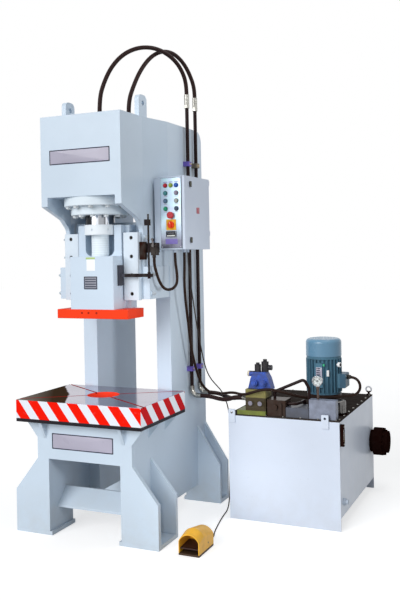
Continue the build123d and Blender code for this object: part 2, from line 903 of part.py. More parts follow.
def lock_levels():
    """Heights of the two door locks."""
    return [box_bottom_z + lock_from_edge + 10, box_bottom_z + box_height - lock_from_edge]


def door_lock(z):
    """Quarter-turn lock: barrel, square head and cam behind the door."""
    x0 = box_inner + box_body_width + door_gap
    x1 = x0 + door_thick
    y = behind(box_front) + lock_setback
    barrel = rod_x(lock_r, x0 + 4, x1 + 2, y, z)
    head = block(x1 + 2, x1 + 7, y - 13, y + 13, z - 18, z + 18)
    head = fillet(head.edges().filter_by(Axis.X), 5)
    cam = block(x0 + 1, x0 + 4, y - 45, y + 10, z - 9, z + 9)
    return barrel + head + cam


def operator_panel():
    """Stainless plate that carries the push buttons."""
    x0 = box_inner + panel_inset
    x1 = box_inner + box_body_width - panel_inset / 2
    z0 = box_bottom_z + panel_inset
    z1 = box_bottom_z + box_height - panel_inset
    y1 = behind(box_front)
    panel = block(x0, x1, y1 - panel_thick, y1, z0, z1)
    for x, z in control_places():
        panel -= rod_y(button_r + button_gap, x, y1 - panel_thick - 1, y1 + 1, z)
    return panel


def panel_fittings():
    """Bezels, pilot lamps, the stop collar, the switch plate and the counter."""
    face = behind(box_front) - panel_thick
    solids = []
    for x, z in control_places()[:6]:
        ring = rod_y(bezel_r, x, face - bezel_height, face, z)
        solids.append(ring - rod_y(button_r + button_gap, x, face - bezel_height - 1, face + 1, z))
    for x in (button_left_x, button_middle_x, button_right_x):
        lamp = rod_y(bezel_r, x, face - bezel_height, face, lamp_z)
        lens = rod_y(button_r, x, face - bezel_height - 8, face - bezel_height, lamp_z)
        lens = fillet(lens.edges().group_by(Axis.Y)[0], 3)
        solids.append(lamp + lens)
    x, z = button_middle_x, stop_z
    ring = rod_y(stop_collar_r, x, face - bezel_height, face, z)
    solids.append(ring - rod_y(button_r + button_gap, x, face - bezel_height - 1, face + 1, z))
    half = switch_plate_size / 2
    plate = block(x - half, x + half, face - 3, face, switch_plate_z - half, switch_plate_z + half)
    solids.append(plate - rod_y(button_r + button_gap, x, face - 4, face + 1, switch_plate_z))
    counter = block(x - half, x + half, face - 9, face, counter_z - counter_height / 2, counter_z + counter_height / 2)
    window = block(x - half + 5, x + half - 5, face - 10, face - 7, counter_z - 14, counter_z - 1)
    solids.append(chamfer(counter.edges().group_by(Axis.Y)[0], 2) - window)
    return solids


def push_button(x, z):
    """Button cap on its stem; it travels into the box."""
    face = behind(box_front) - panel_thick
    front = face - bezel_height - button_height
    button = rod_y(button_r, x, front, face + box_sheet + 10, z)
    return fillet(button.edges().group_by(Axis.Y)[0], 2)


def stop_button():
    """Mushroom head of the emergency stop on its stem."""
    x, z = button_middle_x, stop_z
    face = behind(box_front) - panel_thick
    cap_back = face - bezel_height - stop_travel - 1
    cap = rod_y(stop_r, x, cap_back - 16, cap_back, z)
    cap = fillet(cap.edges().group_by(Axis.Y)[0], 7)
    return cap + rod_y(button_r, x, cap_back, face + box_sheet + 10, z)


def main_switch_knob():
    """Rotary knob of the main switch."""
    x, z = button_middle_x, switch_plate_z
    face = behind(box_front) - panel_thick - 3
    base = rod_y(knob_r, x, face - 9.3, face - 0.3, z)
    grip = block(x - 6.5, x + 6.5, face - 24, face - 9.3, z - knob_r, z + knob_r)
    grip = chamfer(grip.edges().group_by(Axis.Y)[0], 2)
    stem = rod_y(button_r, x, face - 0.3, face + box_sheet + 10, z)
    return base + grip + stem


def pipe_places():
    """Y of the front and rear riser pipes."""
    return [behind(pipe_front), behind(pipe_rear)]


def rounded_pipe(points, radius, bend):
    """Round bar along straight runs with bends of one radius."""
    path = FilletPolyline(*points, radius=bend)
    start = Vector(*points[0])
    direction = Vector(*points[1]) - start
    return sweep(Plane(start, z_dir=direction) * Circle(radius), path=path)


def hydraulic_pipes():
    """Two riser pipes on the column and three pipes on the tank lid."""
    solids = []
    for y in pipe_places():
        solids.append(rod_z(pipe_r, pipe_x, y, pipe_bottom_z, pipe_top_z))
    lid = tank_height + lid_thick
    side_top = lid + side_block_height
    mouth = side_block_x + side_block_width
    front = behind(manifold_front)
    pressure = [
        (side_block_x + 30, front + 75, side_top),
        (side_block_x + 30, front + 75, side_top + 42),
        (motor_x - 62, front + 85, side_top + 128),
        (motor_x - 32, front + 95, side_top + 70),
        (motor_x - 32, front + 95, lid + flat_block_height),
    ]
    tank_line = [
        (mouth, front + 40, side_top - 25),
        (mouth + 55, front + 40, side_top - 25),
        (mouth + 75, front + 100, side_top - 25),
        (mouth + 75, front + 185, side_top - 25),
        (mouth + 75, front + 185, lid),
    ]
    solids.append(rounded_pipe(pressure, lid_pipe_r, 22))
    solids.append(rounded_pipe(tank_line, lid_pipe_r, 20))
    return solids


def pipe_clamps():
    """Two-part clamps that hold the riser pipes to the column."""
    solids = []
    for y in pipe_places():
        for z in (clamp_low_z, clamp_high_z):
            clamp = block(frame_half, pipe_x + 20, y - 24, y + 24, z - clamp_height / 2, z + clamp_height / 2)
            clamp = fillet(clamp.edges().filter_by(Axis.Z).group_by(Axis.X)[-1], 10)
            clamp -= rod_z(pipe_r, pipe_x, y, z - clamp_height, z + clamp_height)
            solids.append(clamp)
    return solids


def manifold_ports():
    """Y and Z of the two hose ports on the left side of the valve block."""
    lid = tank_height + lid_thick
    return [(behind(manifold_front) + 30, lid + 105), (behind(manifold_front) + 88, lid + 90)]


def hose_fittings():
    """Ferrules on the risers, elbows at their feet and adapters on head and valve block."""
    solids = []
    for (x, y) in hose_ports():
        base = hexagon_z(2 * port_adapter_r, x, y, press_height - head_wall, press_height + 22)
        solids.append(base & rod_z(port_hole_r, x, y, 0, press_height + 30))
    for y in pipe_places():
        nut = hexagon_z(2 * ferrule_r, pipe_x, y, pipe_top_z, pipe_top_z + 22)
        sleeve = rod_z(ferrule_r, pipe_x, y, pipe_top_z + 22, pipe_top_z + ferrule_length)
        solids.append(nut + sleeve)
    for y in pipe_places():
        z = pipe_bottom_z
        corner = z - elbow_length
        elbow = [(pipe_x, y, z), (pipe_x, y, corner), (pipe_x + elbow_length, y, corner)]
        solids.append(rounded_pipe(elbow, ferrule_r, elbow_bend))
    for y, z in manifold_ports():
        solids.append(hexagon_x(2 * ferrule_r, manifold_x - 30, manifold_x, y, z))
    return solids


def soft_tube(route, radius, name):
    """Hose or cable along a route: straight runs joined by arcs as large as the runs allow."""
    points = [Vector(*p) for p in route]
    runs = [b - a for a, b in zip(points, points[1:])]
    radii = []
    for before, after in zip(runs, runs[1:]):
        half_turn = radians(before.get_angle(after)) / 2
        radii.append(0.45 * min(before.length, after.length) / tan(half_turn))
    path = FilletPolyline(*points, radius=radii)
    tube = sweep(Plane(points[0], z_dir=runs[0]) * Circle(radius), path=path)
    expected = pi * radius**2 * path.length
    print(f"{name}: length {path.length:.0f}, smallest radius {min(radii):.0f}, volume ratio {tube.volume / expected:.4f}")
    return tube


def upper_hose_front():
    """Hose from the top of the cylinder to the front riser."""
    (x, y), y_pipe = hose_ports()[0], pipe_places()[0]
    z0, z1 = press_height + 22, pipe_top_z + ferrule_length
    route = [
        (x, y, z0),
        (x, y, z0 + 111),
        (x + 22, y + 29, z0 + 221),
        (x + 56, y + 67, z0 + 321),
        (x + 108, y + 125, z0 + 406),
        (x + 171, y + 202, z0 + 458),
        (x + 231, y + 290, z0 + 474),
        (x + 278, y + 380, z0 + 459),
        (pipe_x - 32, y_pipe - 106, z1 + 218),
        (pipe_x - 10, y_pipe - 39, z1 + 153),
        (pipe_x, y_pipe, z1 + 73),
        (pipe_x, y_pipe, z1),
    ]
    return soft_tube(route, hose_r, "upper_hose_front")


def upper_hose_rear():
    """Hose from the lower port of the cylinder to the rear riser."""
    (x, y), y_pipe = hose_ports()[1], pipe_places()[1]
    z0, z1 = press_height + 22, pipe_top_z + ferrule_length
    route = [
        (x, y, z0),
        (x, y, z0 + 91),
        (x + 11, y + 48, z0 + 196),
        (x + 26, y + 110, z0 + 301),
        (x + 48, y + 190, z0 + 396),
        (x + 72, y + 277, z0 + 458),
        (x + 97, y + 360, z0 + 484),
        (x + 122, y + 445, z0 + 479),
        (pipe_x - 42, y_pipe - 95, z1 + 238),
        (pipe_x - 19, y_pipe - 41, z1 + 168),
        (pipe_x, y_pipe, z1 + 73),
        (pipe_x, y_pipe, z1),
    ]
    return soft_tube(route, hose_r, "upper_hose_rear")


def lower_hose_front():
    """Hose from the foot of the front riser to the valve block."""
    y = pipe_places()[0]
    z = pipe_bottom_z - elbow_length
    port_y, port_z = manifold_ports()[0]
    x0, x1 = pipe_x + elbow_length, manifold_x - 30
    route = [
        (x0, y, z),
        (x0 + 68, y, z),
        (x0 + 144, y - 18, z - 12),
        (x0 + 218, y - 54, z - 6),
        (x1 - 52, port_y, port_z),
        (x1, port_y, port_z),
    ]
    return soft_tube(route, hose_r, "lower_hose_front")


def lower_hose_rear():
    """Hose from the foot of the rear riser to the valve block."""
    y = pipe_places()[1]
    z = pipe_bottom_z - elbow_length
    port_y, port_z = manifold_ports()[1]
    x0, x1 = pipe_x + elbow_length, manifold_x - 30
    route = [
        (x0, y, z),
        (x0 + 70, y, z),
        (x0 + 148, y - 36, z - 14),
        (x0 + 218, y - 105, z - 12),
        (x1 - 54, port_y, port_z),
        (x1, port_y, port_z),
    ]
    return soft_tube(route, hose_r, "lower_hose_rear")


def switch_conduit():
    """Looped conduit from the control box to the limit switch."""
    gx, gy, _ = box_glands()[0]
    x = switch_x() - 6
    y = behind(switch_front) + switch_depth / 2
    z0, z1 = box_bottom_z - 18, switch_mid_z - switch_height / 2 - 16
    route = [
        (gx, gy, z0),
        (gx, gy, z0 - 58),
        (gx + 17, gy - 13, z0 - 125),
        (gx + 26, gy - 29, z0 - 193),
        (gx + 12, gy - 47, z0 - 224),
        (gx - 10, gy - 77, z0 - 236),
        (gx - 33, gy - 107, z0 - 224),
        (gx - 51, gy - 131, z0 - 176),
        (gx - 63, gy - 147, z0 - 116),
        (x, y, z1 - 42),
        (x, y, z1),
    ]
    return soft_tube(route, 9, "switch_conduit")


def pack_conduit():
    """Conduit from the control box, past the risers and the valve block, to the motor's terminal box."""
    gx, gy, _ = box_glands()[1]
    z0 = box_bottom_z - 18
    lid = tank_height + lid_thick
    front = behind(manifold_front)
    mx, my = motor_x, behind(motor_setback)
    bell_top = lid + bell_height
    route = [
        (gx, gy, z0),
        (gx, gy, z0 - 80),
        (gx - 3, gy - 3, z0 - 190),
        (gx - 13, gy + 30, z0 - 310),
        (gx - 23, gy + 90, z0 - 470),
        (gx - 31, gy + 145, z0 - 640),
        (gx - 31, gy + 205, z0 - 770),
        (gx - 27, gy + 275, z0 - 890),
        (gx - 3, gy + 322, z0 - 952),
        (gx + 57, gy + 314, z0 - 975),
        (gx + 147, gy + 265, z0 - 958),
        (gx + 247, gy + 195, z0 - 932),
        (manifold_x - 10, front - 15, lid + 128),
        (manifold_x + 65, front - 31, lid + 153),
        (manifold_x + 140, front - 31, lid + 177),
        (manifold_x + 210, front - 21, lid + 173),
        (manifold_x + 275, front + 25, lid + 150),
        (mx - 96, my - 260, bell_top + 30),
        (mx - 21, my - 200, bell_top + 13),
        (mx + 62, my - 128, bell_top + 9),
        (mx + 112, my - 80, bell_top + 8),
        (mx + 148, my - 30, bell_top + 8),
        (mx + 206, my, bell_top + 11),
        (mx + 241, my, bell_top + 46),
        (mx + 241, my, bell_top + 96),
        (mx + 206, my, bell_top + 131),
        (mx + terminal_reach, my, bell_top + 131),
    ]
    return soft_tube(route, 9, "pack_conduit")


def foot_cable():
    """Cable from the control box to the foot switch, lying on the floor for its last stretch."""
    gx, gy, _ = box_glands()[2]
    z0 = box_bottom_z - 18
    floor = 4.2
    x1, y1 = foot_x + foot_cable_x, behind(foot_depth) + foot_gland_length
    route = [
        (gx, gy, z0),
        (gx, gy, z0 - 55),
        (gx + 1, gy + 12, z0 - 120),
        (gx + 3, gy + 32, z0 - 220),
        (gx + 4, gy + 60, z0 - 320),
        (gx + 4, gy + 92, z0 - 430),
        (gx + 4, gy + 132, z0 - 545),
        (gx + 4, gy + 176, z0 - 655),
        (gx + 5, gy + 222, z0 - 765),
        (gx + 9, gy + 268, z0 - 845),
        (gx + 24, gy + 308, z0 - 902),
        (gx + 54, gy + 330, z0 - 944),
        (gx + 95, gy + 322, z0 - 980),
        (gx + 137, gy + 285, z0 - 1028),
        (gx + 176, gy + 240, z0 - 1088),
        (gx + 198, gy + 200, z0 - 1175),
        (gx + 208, gy + 174, z0 - 1275),
        (gx + 209, gy + 171, z0 - 1385),
        (gx + 206, gy + 170, z0 - 1490),
        (gx + 202, gy + 171, z0 - 1595),
        (gx + 197, gy + 172, z0 - 1680),
        (gx + 195, gy + 160, floor + 22),
        (gx + 198, gy + 122, floor),
        (gx + 206, gy + 65, floor),
        (gx + 220, gy - 20, floor),
        (gx + 238, gy - 110, floor),
        (gx + 258, gy - 200, floor),
        (gx + 280, gy - 290, floor),
        (x1 - 26, y1 + 120, floor),
        (x1 - 12, y1 + 80, floor + 10),
        (x1, y1 + 42, foot_cable_z),
        (x1, y1, foot_cable_z),
    ]
    return soft_tube(route, 4, "foot_cable")


def tank_body():
    """Welded sheet tank: front and back panels reach the floor, a bottom plate between them."""
    x0, x1 = tank_x, tank_x + tank_width
    y0, y1 = behind(tank_start), behind(tank_start) + tank_depth
    sheet = tank_sheet
    front = block(x0, x1, y0, y0 + sheet, 0, tank_height)
    back = block(x0, x1, y1 - sheet, y1, 0, tank_height)
    left = block(x0, x0 + sheet, y0, y1, tank_floor_z - 25, tank_height)
    right = block(x1 - sheet, x1, y0, y1, tank_floor_z - 25, tank_height)
    bottom = block(x0, x1, y0, y1, tank_floor_z, tank_floor_z + sheet)
    shell = front + back + left + right + bottom
    for x in (x0 + 3, x1 - 3 - tab_width - 64):
        tab = block(x, x + tab_width, y0 - 8, y0, tank_height - tab_height + tab_rise, tank_height + tab_rise)
        hole = rod_y(tab_hole_r, x + tab_width / 2, y0 - 9, y0 + 1, tank_height + tab_rise - 23)
        shell += fillet(tab.edges().filter_by(Axis.Y).group_by(Axis.Z)[-1], 5) - hole
    return shell


def tank_lid():
    """Lid plate of the tank, with the openings for the pump and the breather."""
    x0, x1 = tank_x, tank_x + tank_width
    y0, y1 = behind(tank_start), behind(tank_start) + tank_depth
    lid = block(x0, x1, y0, y1, tank_height, tank_height + lid_thick)
    lid -= rod_z(pump_hole_r, motor_x, behind(motor_setback), tank_height - 1, tank_height + lid_thick + 1)
    lid -= rod_z(neck_tube_r, breather_x, behind(breather_setback), tank_height - 1, tank_height + lid_thick + 1)
    return lid


def tank_fittings():
    """Level gauge, drain plug, suction strainer cover, eye bolt and filler neck."""
    side = tank_x + tank_width
    lid = tank_height + lid_thick
    y0 = behind(tank_start)
    glass = block(side, side + 22, y0 + 10, y0 + 44, 525, 661)
    glass = fillet(glass.edges().filter_by(Axis.X), 8)
    glass -= block(side + 14, side + 23, y0 + 18, y0 + 36, 552, 634)
    drain = rod_x(22, side, side + 12, y0 + 80, tank_floor_z + 60) + hexagon_x(27, side + 12, side + 28, y0 + 80, tank_floor_z + 60)
    y = behind(strainer_setback)
    cover = rod_x(78, side, side + 22, y, strainer_z)
    cover += rod_x(98, side + 22, side + 88, y, strainer_z)
    cover += rod_x(78, side + 88, side + 124, y, strainer_z)
    for turn in range(8):
        knob = rod_x(11, side + 88, side + 104, y + 87 * cos(turn * pi / 4), strainer_z + 87 * sin(turn * pi / 4))
        cover += knob
    eye_y = behind(tank_start) + tank_depth - 32
    ring = Pos(side - 20, eye_y, lid + 42) * Rot(90, 0, 0) * Torus(19, 5.5)
    shank = rod_z(8, side - 20, eye_y, lid, lid + 24)
    base = rod_z(15, side - 20, eye_y, lid, lid + 8)
    flange = rod_z(44, breather_x, behind(breather_setback), lid, lid + 6)
    neck = rod_z(neck_tube_r, breather_x, behind(breather_setback), tank_height - 60, lid + 30)
    neck -= rod_z(neck_tube_r - 3, breather_x, behind(breather_setback), tank_height - 61, lid + 31)
    return [glass, drain, cover, ring + shank + base, flange + neck]


def breather_cap():
    """Filler and breather cap, turned off its neck."""
    lid = tank_height + lid_thick
    y = behind(breather_setback)
    bottom = lid + 31
    cap = rod_z(breather_r, breather_x, y, bottom - 16, bottom + breather_height)
    cap = fillet(cap.edges().group_by(Axis.Z)[-1], 10)
    cap -= rod_z(neck_tube_r + 0.3, breather_x, y, bottom - 17, bottom)
    for turn in range(12):
        flute = rod_z(5, breather_x + (breather_r + 2) * cos(turn * pi / 6), y + (breather_r + 2) * sin(turn * pi / 6), bottom - 17, bottom + 34)
        cap -= flute
    return cap


def valve_manifold():
    """Valve block on its base plate, with plugs, and the flat blocks beside it."""
    lid = tank_height + lid_thick
    y0 = behind(manifold_front)
    x0 = manifold_x
    base = block(
        manifold_base_x, manifold_base_x + manifold_base_width, y0 - 8, y0 + manifold_depth + 8, lid, lid + manifold_base_thick
    )
    body = block(x0, x0 + manifold_width, y0, y0 + manifold_depth, lid + manifold_base_thick, lid + manifold_height)
    body = chamfer(body.edges().filter_by(Axis.Z), 3)
    body += block(x0 + 8, x0 + manifold_width - 8, y0 - 4, y0, lid + 42, lid + 112)
    for x in (x0 + 40, x0 + 105):
        body += rod_y(22, x, y0 - 9, y0 - 4, lid + 78)
        body += rod_y(15, x, y0 - 19, y0 - 9, lid + 78)
    x1 = side_block_x + side_block_width
    side = block(side_block_x, x1, y0, y0 + manifold_depth, lid, lid + side_block_height)
    side = chamfer(side.edges().filter_by(Axis.Z), 3)
    side += rod_y(17, side_block_x + 57, y0 - 14, y0, lid + 60)
    side += block(side_block_x + 80, side_block_x + 102, y0 - 10, y0, lid + 4, lid + 88)
    x2 = x1 + block_gap + flat_block_width
    flat = block(x1 + block_gap, x2, y0, y0 + 150, lid, lid + flat_block_height)
    x3 = x2 + block_gap
    carrier = block(x3, x3 + carrier_width, y0 + 2, y0 + 60, lid, lid + carrier_height)
    carrier = chamfer(carrier.edges().filter_by(Axis.Z), 2)
    return [base + body, side, flat, carrier]


def valve_stack():
    """Directional valve with its solenoids, knobs and plug on the valve block."""
    lid = tank_height + lid_thick
    z0 = lid + manifold_height
    x0 = manifold_x
    y = behind(manifold_front) + manifold_depth / 2
    outline = polygon((x0 + 12, z0), (x0 + 172, z0), (x0 + 152, z0 + 70), (x0 + 130, z0 + 110), (x0 + 52, z0 + 110), (x0 + 30, z0 + 70))
    body = plate_xz(outline, y - 38, y + 38)
    body = chamfer(body.edges().filter_by(Axis.X), 4)
    for x in (x0 + 62, x0 + 120):
        body += rod_y(21, x, y - 62, y - 38, z0 + 42)
        body += rod_y(14, x, y - 72, y - 62, z0 + 42)
    solenoid = rod_z(21, x0 + 72, y - 8, z0 + 110, z0 + 158) + rod_z(12, x0 + 72, y - 8, z0 + 158, z0 + 170)
    tall = rod_z(24, x0 + 118, y + 4, z0 + 110, z0 + 176) + rod_z(13, x0 + 118, y + 4, z0 + 176, z0 + 192)
    side_coil = rod_x(17, x0 + 141, x0 + 165, y + 4, z0 + 138)
    nut = hexagon_x(34, x0 + 20, x0 + 52, y - 20, z0 + 98)
    return body + solenoid + tall + side_coil + nut


def motor_housing():
    """Bell housing, finned motor body and terminal box, hollow around the rotor."""
    lid = tank_height + lid_thick
    x, y = motor_x, behind(motor_setback)
    z1 = lid + bell_height
    z2 = z1 + motor_body_height
    bell = rod_z(92, x, y, lid, z1)
    bell += rod_z(112, x, y, lid, lid + 14)
    bell += rod_z(motor_r - 4, x, y, z1 - 14, z1 + 22)
    body = rod_z(motor_r - fin_height, x, y, z1, z2)
    for i in range(fin_count):
        fin = Pos(motor_r - fin_height / 2 - 3, 0, (z1 + z2) / 2 + 8) * Box(fin_height + 6, fin_thick, z2 - z1 - 50)
        body += Pos(x, y, 0) * Rot(0, 0, 360 / fin_count * i) * fin
    body += rod_z(motor_r - 3, x, y, z2 - 18, z2)
    box = block(x + motor_r - 22, x + terminal_reach, y - 52, y + 52, z1 + 62, z1 + 156)
    box = chamfer(box.edges().filter_by(Axis.Y), 6)
    lug = block(x - 22, x + 22, y - motor_r - 6, y - motor_r + 30, z1 + 70, z2 - 40)
    shell = bell + body + box + lug
    shell -= rod_z(rotor_r + 3, x, y, z1 + 30, z2 - 30)
    shell -= rod_z(shaft_r + running_gap, x, y, lid - 1, z2 + 1)
    shell -= rod_z(70, x, y, lid - 1, z1 - 22)
    return shell


def fan_cowl():
    """Fan cowl with its domed top, open towards the motor."""
    x, y = motor_x, behind(motor_setback)
    z0 = tank_height + lid_thick + bell_height + motor_body_height
    cowl = rod_z(motor_r, x, y, z0, z0 + cowl_height)
    cowl = fillet(cowl.edges().group_by(Axis.Z)[-1], cowl_dome)
    cowl -= rod_z(motor_r - 3, x, y, z0 - 1, z0 + cowl_height - cowl_dome)
    for ring in (34, 52, 70):
        for turn in range(12):
            angle = turn * pi / 6
            cowl -= rod_z(5, x + ring * cos(angle), y + ring * sin(angle), z0 + 60, z0 + cowl_height + 1)
    return cowl


def motor_rotor():
    """Rotor with its shaft, the fan under the cowl and the coupling above the pump."""
    lid = tank_height + lid_thick
    x, y = motor_x, behind(motor_setback)
    z1 = lid + bell_height
    z2 = z1 + motor_body_height
    shaft = rod_z(shaft_r, x, y, lid + 20, z2 + 40)
    core = rod_z(rotor_r, x, y, z1 + 40, z2 - 40)
    hub = rod_z(26, x, y, z2 + 14, z2 + 44)
    fan = rod_z(90, x, y, z2 + 14, z2 + 18)
    for turn in range(8):
        blade = Pos(58, 0, z2 + 33) * Box(64, 4, 30)
        fan += Pos(x, y, 0) * Rot(0, 0, turn * 45) * blade
    coupling = rod_z(34, x, y, lid + 20, lid + 56)
    return shaft + core + hub + fan + coupling


def pump():
    """Gear pump hung under the lid, with its suction tube."""
    lid = tank_height + lid_thick
    x, y = motor_x, behind(motor_setback)
    plate = rod_z(pump_hole_r - 0.3, x, y, tank_height - 12, lid)
    body = block(x - 46, x + 46, y - 58, y + 58, tank_height - 130, tank_height - 12)
    body = chamfer(body.edges().filter_by(Axis.Z), 8)
    nose = rod_z(shaft_r, x, y, lid, lid + 18)
    tube = rod_z(18, x, y - 20, tank_floor_z + 90, tank_height - 130)
    strainer = rod_z(44, x, y - 20, tank_floor_z + 40, tank_floor_z + 130)
    return plate + body + nose + tube + strainer


def pressure_gauge():
    """Pressure gauge on its stem, open at the front around the needle."""
    x, y, z = gauge_x, behind(gauge_setback), gauge_z
    case = rod_y(gauge_r, x, y, y + 26, z)
    case = chamfer(case.edges().group_by(Axis.Y)[-1], 3)
    case -= rod_y(gauge_r - 3.5, x, y - 1, y + 9, z)
    case -= rod_y(2.0 + running_gap, x, y, y + 20, z)
    stem = rod_z(8, x, y + 14, tank_height + lid_thick + carrier_height, z - gauge_r + 3)
    nut = hexagon_z(22, x, y + 14, z - gauge_r - 14, z - gauge_r + 2)
    return case + stem + nut


def gauge_needle():
    """Needle of the pressure gauge on its spindle."""
    x, y, z = gauge_x, behind(gauge_setback), gauge_z
    spindle = rod_y(2.0, x, y + 3, y + 19, z)
    boss = rod_y(4.0, x, y + 3, y + 6, z)
    length = gauge_r - 9
    pointer = polygon((-1.8, -8), (1.8, -8), (0.5, length), (-0.5, length))
    needle = Pos(x, 0, z) * Rot(0, gauge_rest_angle, 0) * plate_xz(pointer, y + 3.5, y + 5)
    return spindle + boss + needle


def hood_section(setback, crown, spring, inset, base):
    """Arched section of the foot guard at a distance behind its mouth."""
    half = foot_width / 2 - inset
    sides = Polyline((-half, spring), (-half, base), (half, base), (half, spring))
    arch = ThreePointArc((half, spring), (0, crown - inset), (-half, spring))
    plane = Plane((foot_x, behind(setback), 0), x_dir=(1, 0, 0), z_dir=(0, -1, 0))
    return plane * make_face(sides + arch)


def foot_guard():
    """Guard of the foot switch: base plate, arched hood and the switch housing at the back."""
    x0, x1 = foot_x - foot_width / 2, foot_x + foot_width / 2
    outer = [hood_section(*section, 0, 0) for section in (hood_mouth, hood_ridge, hood_back)]
    share = (toe_depth - hood_ridge[0]) / (hood_back[0] - hood_ridge[0])
    toe_end = [ridge + share * (back - ridge) for ridge, back in zip(hood_ridge, hood_back)]
    sections = [(hood_mouth[0] - 1, *hood_mouth[1:]), hood_ridge, toe_end]
    inner = [hood_section(*section, guard_wall, guard_base) for section in sections]
    hood = loft(outer, ruled=True) - loft(inner, ruled=True)
    pin_y = behind(toe_depth - pedal_pin_setback)
    hood -= rod_x(pedal_pin_r + running_gap, x0 - 1, x1 + 1, pin_y, pedal_pin_z)
    gland = rod_y(9, foot_x + foot_cable_x, behind(foot_depth), behind(foot_depth) + foot_gland_length, foot_cable_z)
    return hood + gland


def foot_pedal():
    """Rocking pedal on its cross pin."""
    x0, x1 = foot_x - foot_width / 2, foot_x + foot_width / 2
    pin_y = behind(toe_depth - pedal_pin_setback)
    tip_y = behind(guard_base)
    pin = rod_x(pedal_pin_r, x0, x1, pin_y, pedal_pin_z)
    outline = polygon(
        (tip_y, pedal_pin_z - pedal_rise),
        (pin_y + 8, pedal_pin_z - 4),
        (pin_y + 8, pedal_pin_z + pedal_thick - 2),
        (pin_y - 6, pedal_pin_z + pedal_thick),
        (tip_y, pedal_pin_z - pedal_rise + pedal_thick),
    )
    plate = plate_yz(outline, x0 + guard_wall + 2, x1 - guard_wall - 2)
    return plate + pin


def export(shape, name):
    """Writes one node; a list of separate solids becomes one compound."""
    if isinstance(shape, list):
        shape = Compound(children=shape)
    export_step(shape, f"parts/{name}.step")


def main():
    """Builds every node and writes its file."""
    os.makedirs("parts", exist_ok=True)
    export(mirrored(right_side_frame()), "left_side_frame")
    export(right_side_frame(), "right_side_frame")
    export(front_plate(), "front_plate")
    export(front_legs(), "front_legs")
    export(bed_plate(), "bed_plate")
    export(bolster(), "bolster")
    export(table_gussets(), "table_gussets")
    export(head_shell(), "head_shell")
    export(guide_housing(), "guide_housing")
    export(lifting_lugs(), "lifting_lugs")
    export(gib_blocks(), "gib_blocks")
    export(frame_bolts(), "frame_bolts")
    export(cylinder_barrel(), "cylinder_barrel")
    export(cylinder_flange(), "cylinder_flange")
    export(ram(), "ram")
    export(rod_collar(), "rod_collar")
    export(slide_block(), "slide_block")
    export(platen(), "platen")
    export(stroke_arm(), "stroke_arm")
    export(limit_switch(), "limit_switch")
    export(limit_lever(), "limit_lever")
    export(control_box(), "control_box")
    export(box_bracket(), "box_bracket")
    export(box_door(), "box_door")
    export(door_lock(lock_levels()[1]), "upper_door_lock")
    export(door_lock(lock_levels()[0]), "lower_door_lock")
    export(operator_panel(), "operator_panel")
    export(panel_fittings(), "panel_fittings")
    export(main_switch_knob(), "main_switch_knob")
    export(stop_button(), "stop_button")
    names = ["left_top", "left_middle", "left_bottom", "right_top", "right_middle", "right_bottom"]
    for (x, z), name in zip(control_places(), names):
        export(push_button(x, z), f"button_{name}")
    export(hydraulic_pipes(), "hydraulic_pipes")
    export(pipe_clamps(), "pipe_clamps")
    export(hose_fittings(), "hose_fittings")
    export(upper_hose_front(), "upper_hose_front")
    export(upper_hose_rear(), "upper_hose_rear")
    export(lower_hose_front(), "lower_hose_front")
    export(lower_hose_rear(), "lower_hose_rear")
    export(switch_conduit(), "switch_conduit")
    export(pack_conduit(), "pack_conduit")
    export(foot_cable(), "foot_cable")
    export(tank_body(), "tank_body")
    export(tank_lid(), "tank_lid")
    export(tank_fittings(), "tank_fittings")
    export(breather_cap(), "breather_cap")
    export(valve_manifold(), "valve_manifold")
    export(valve_stack(), "valve_stack")
    export(motor_housing(), "motor_housing")
    export(motor_rotor(), "motor_rotor")
    export(fan_cowl(), "fan_cowl")
    export(pump(), "pump")
    export(pressure_gauge(), "pressure_gauge")
    export(gauge_needle(), "gauge_needle")
    export(foot_guard(), "foot_guard")
    export(foot_pedal(), "foot_pedal")


main()
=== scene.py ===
"""Dresses the hydraulic press: finishes, cords, small fittings, floor, light and camera.

Every length is in metres. X = 0 is the middle of the press, Z = 0 is the floor, +Y is the back.
"""
from __future__ import annotations

import logging
from dataclasses import dataclass
from enum import Enum
from math import cos, pi, radians, sin

import bmesh
import bpy
import numpy as np
from mathutils import Matrix

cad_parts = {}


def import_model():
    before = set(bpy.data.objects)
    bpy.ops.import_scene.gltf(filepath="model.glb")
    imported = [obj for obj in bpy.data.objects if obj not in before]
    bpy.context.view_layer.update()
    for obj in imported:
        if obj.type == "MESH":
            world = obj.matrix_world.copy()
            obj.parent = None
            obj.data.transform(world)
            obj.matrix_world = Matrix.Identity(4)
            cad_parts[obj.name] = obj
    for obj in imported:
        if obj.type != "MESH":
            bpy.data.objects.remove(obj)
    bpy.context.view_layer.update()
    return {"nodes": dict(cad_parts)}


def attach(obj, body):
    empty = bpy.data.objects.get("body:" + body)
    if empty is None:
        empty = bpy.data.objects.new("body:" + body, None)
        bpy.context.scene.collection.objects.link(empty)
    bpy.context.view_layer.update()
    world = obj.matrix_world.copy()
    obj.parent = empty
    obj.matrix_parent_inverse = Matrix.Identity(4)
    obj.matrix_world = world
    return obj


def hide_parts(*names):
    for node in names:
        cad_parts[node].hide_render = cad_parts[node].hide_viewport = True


LOG = logging.getLogger("press")

Colour = tuple[float, float, float]
Point = tuple[float, float, float]
Socket = bpy.types.NodeSocket
Pair = tuple[float, float]
Profile = tuple[Pair, ...]
# X, Z, width and height of a plate on a front.
Flat = tuple[float, float, float, float]
# Width, height, thickness, corner radius and softened edge of a slab.
Sizes = tuple[float, ...]

BASE_FRONT_Y = -0.57875
RAM_Y = -0.33375
TABLE_TOP_Z = 0.850
BODY = "frame"
NOISE_RANGE = (0.3, 0.7)
SHARP_ANGLE = 35.0


class Axis(Enum):
    """Output of a Separate XYZ node that a pattern reads."""

    X = "X"
    Y = "Y"
    Z = "Z"


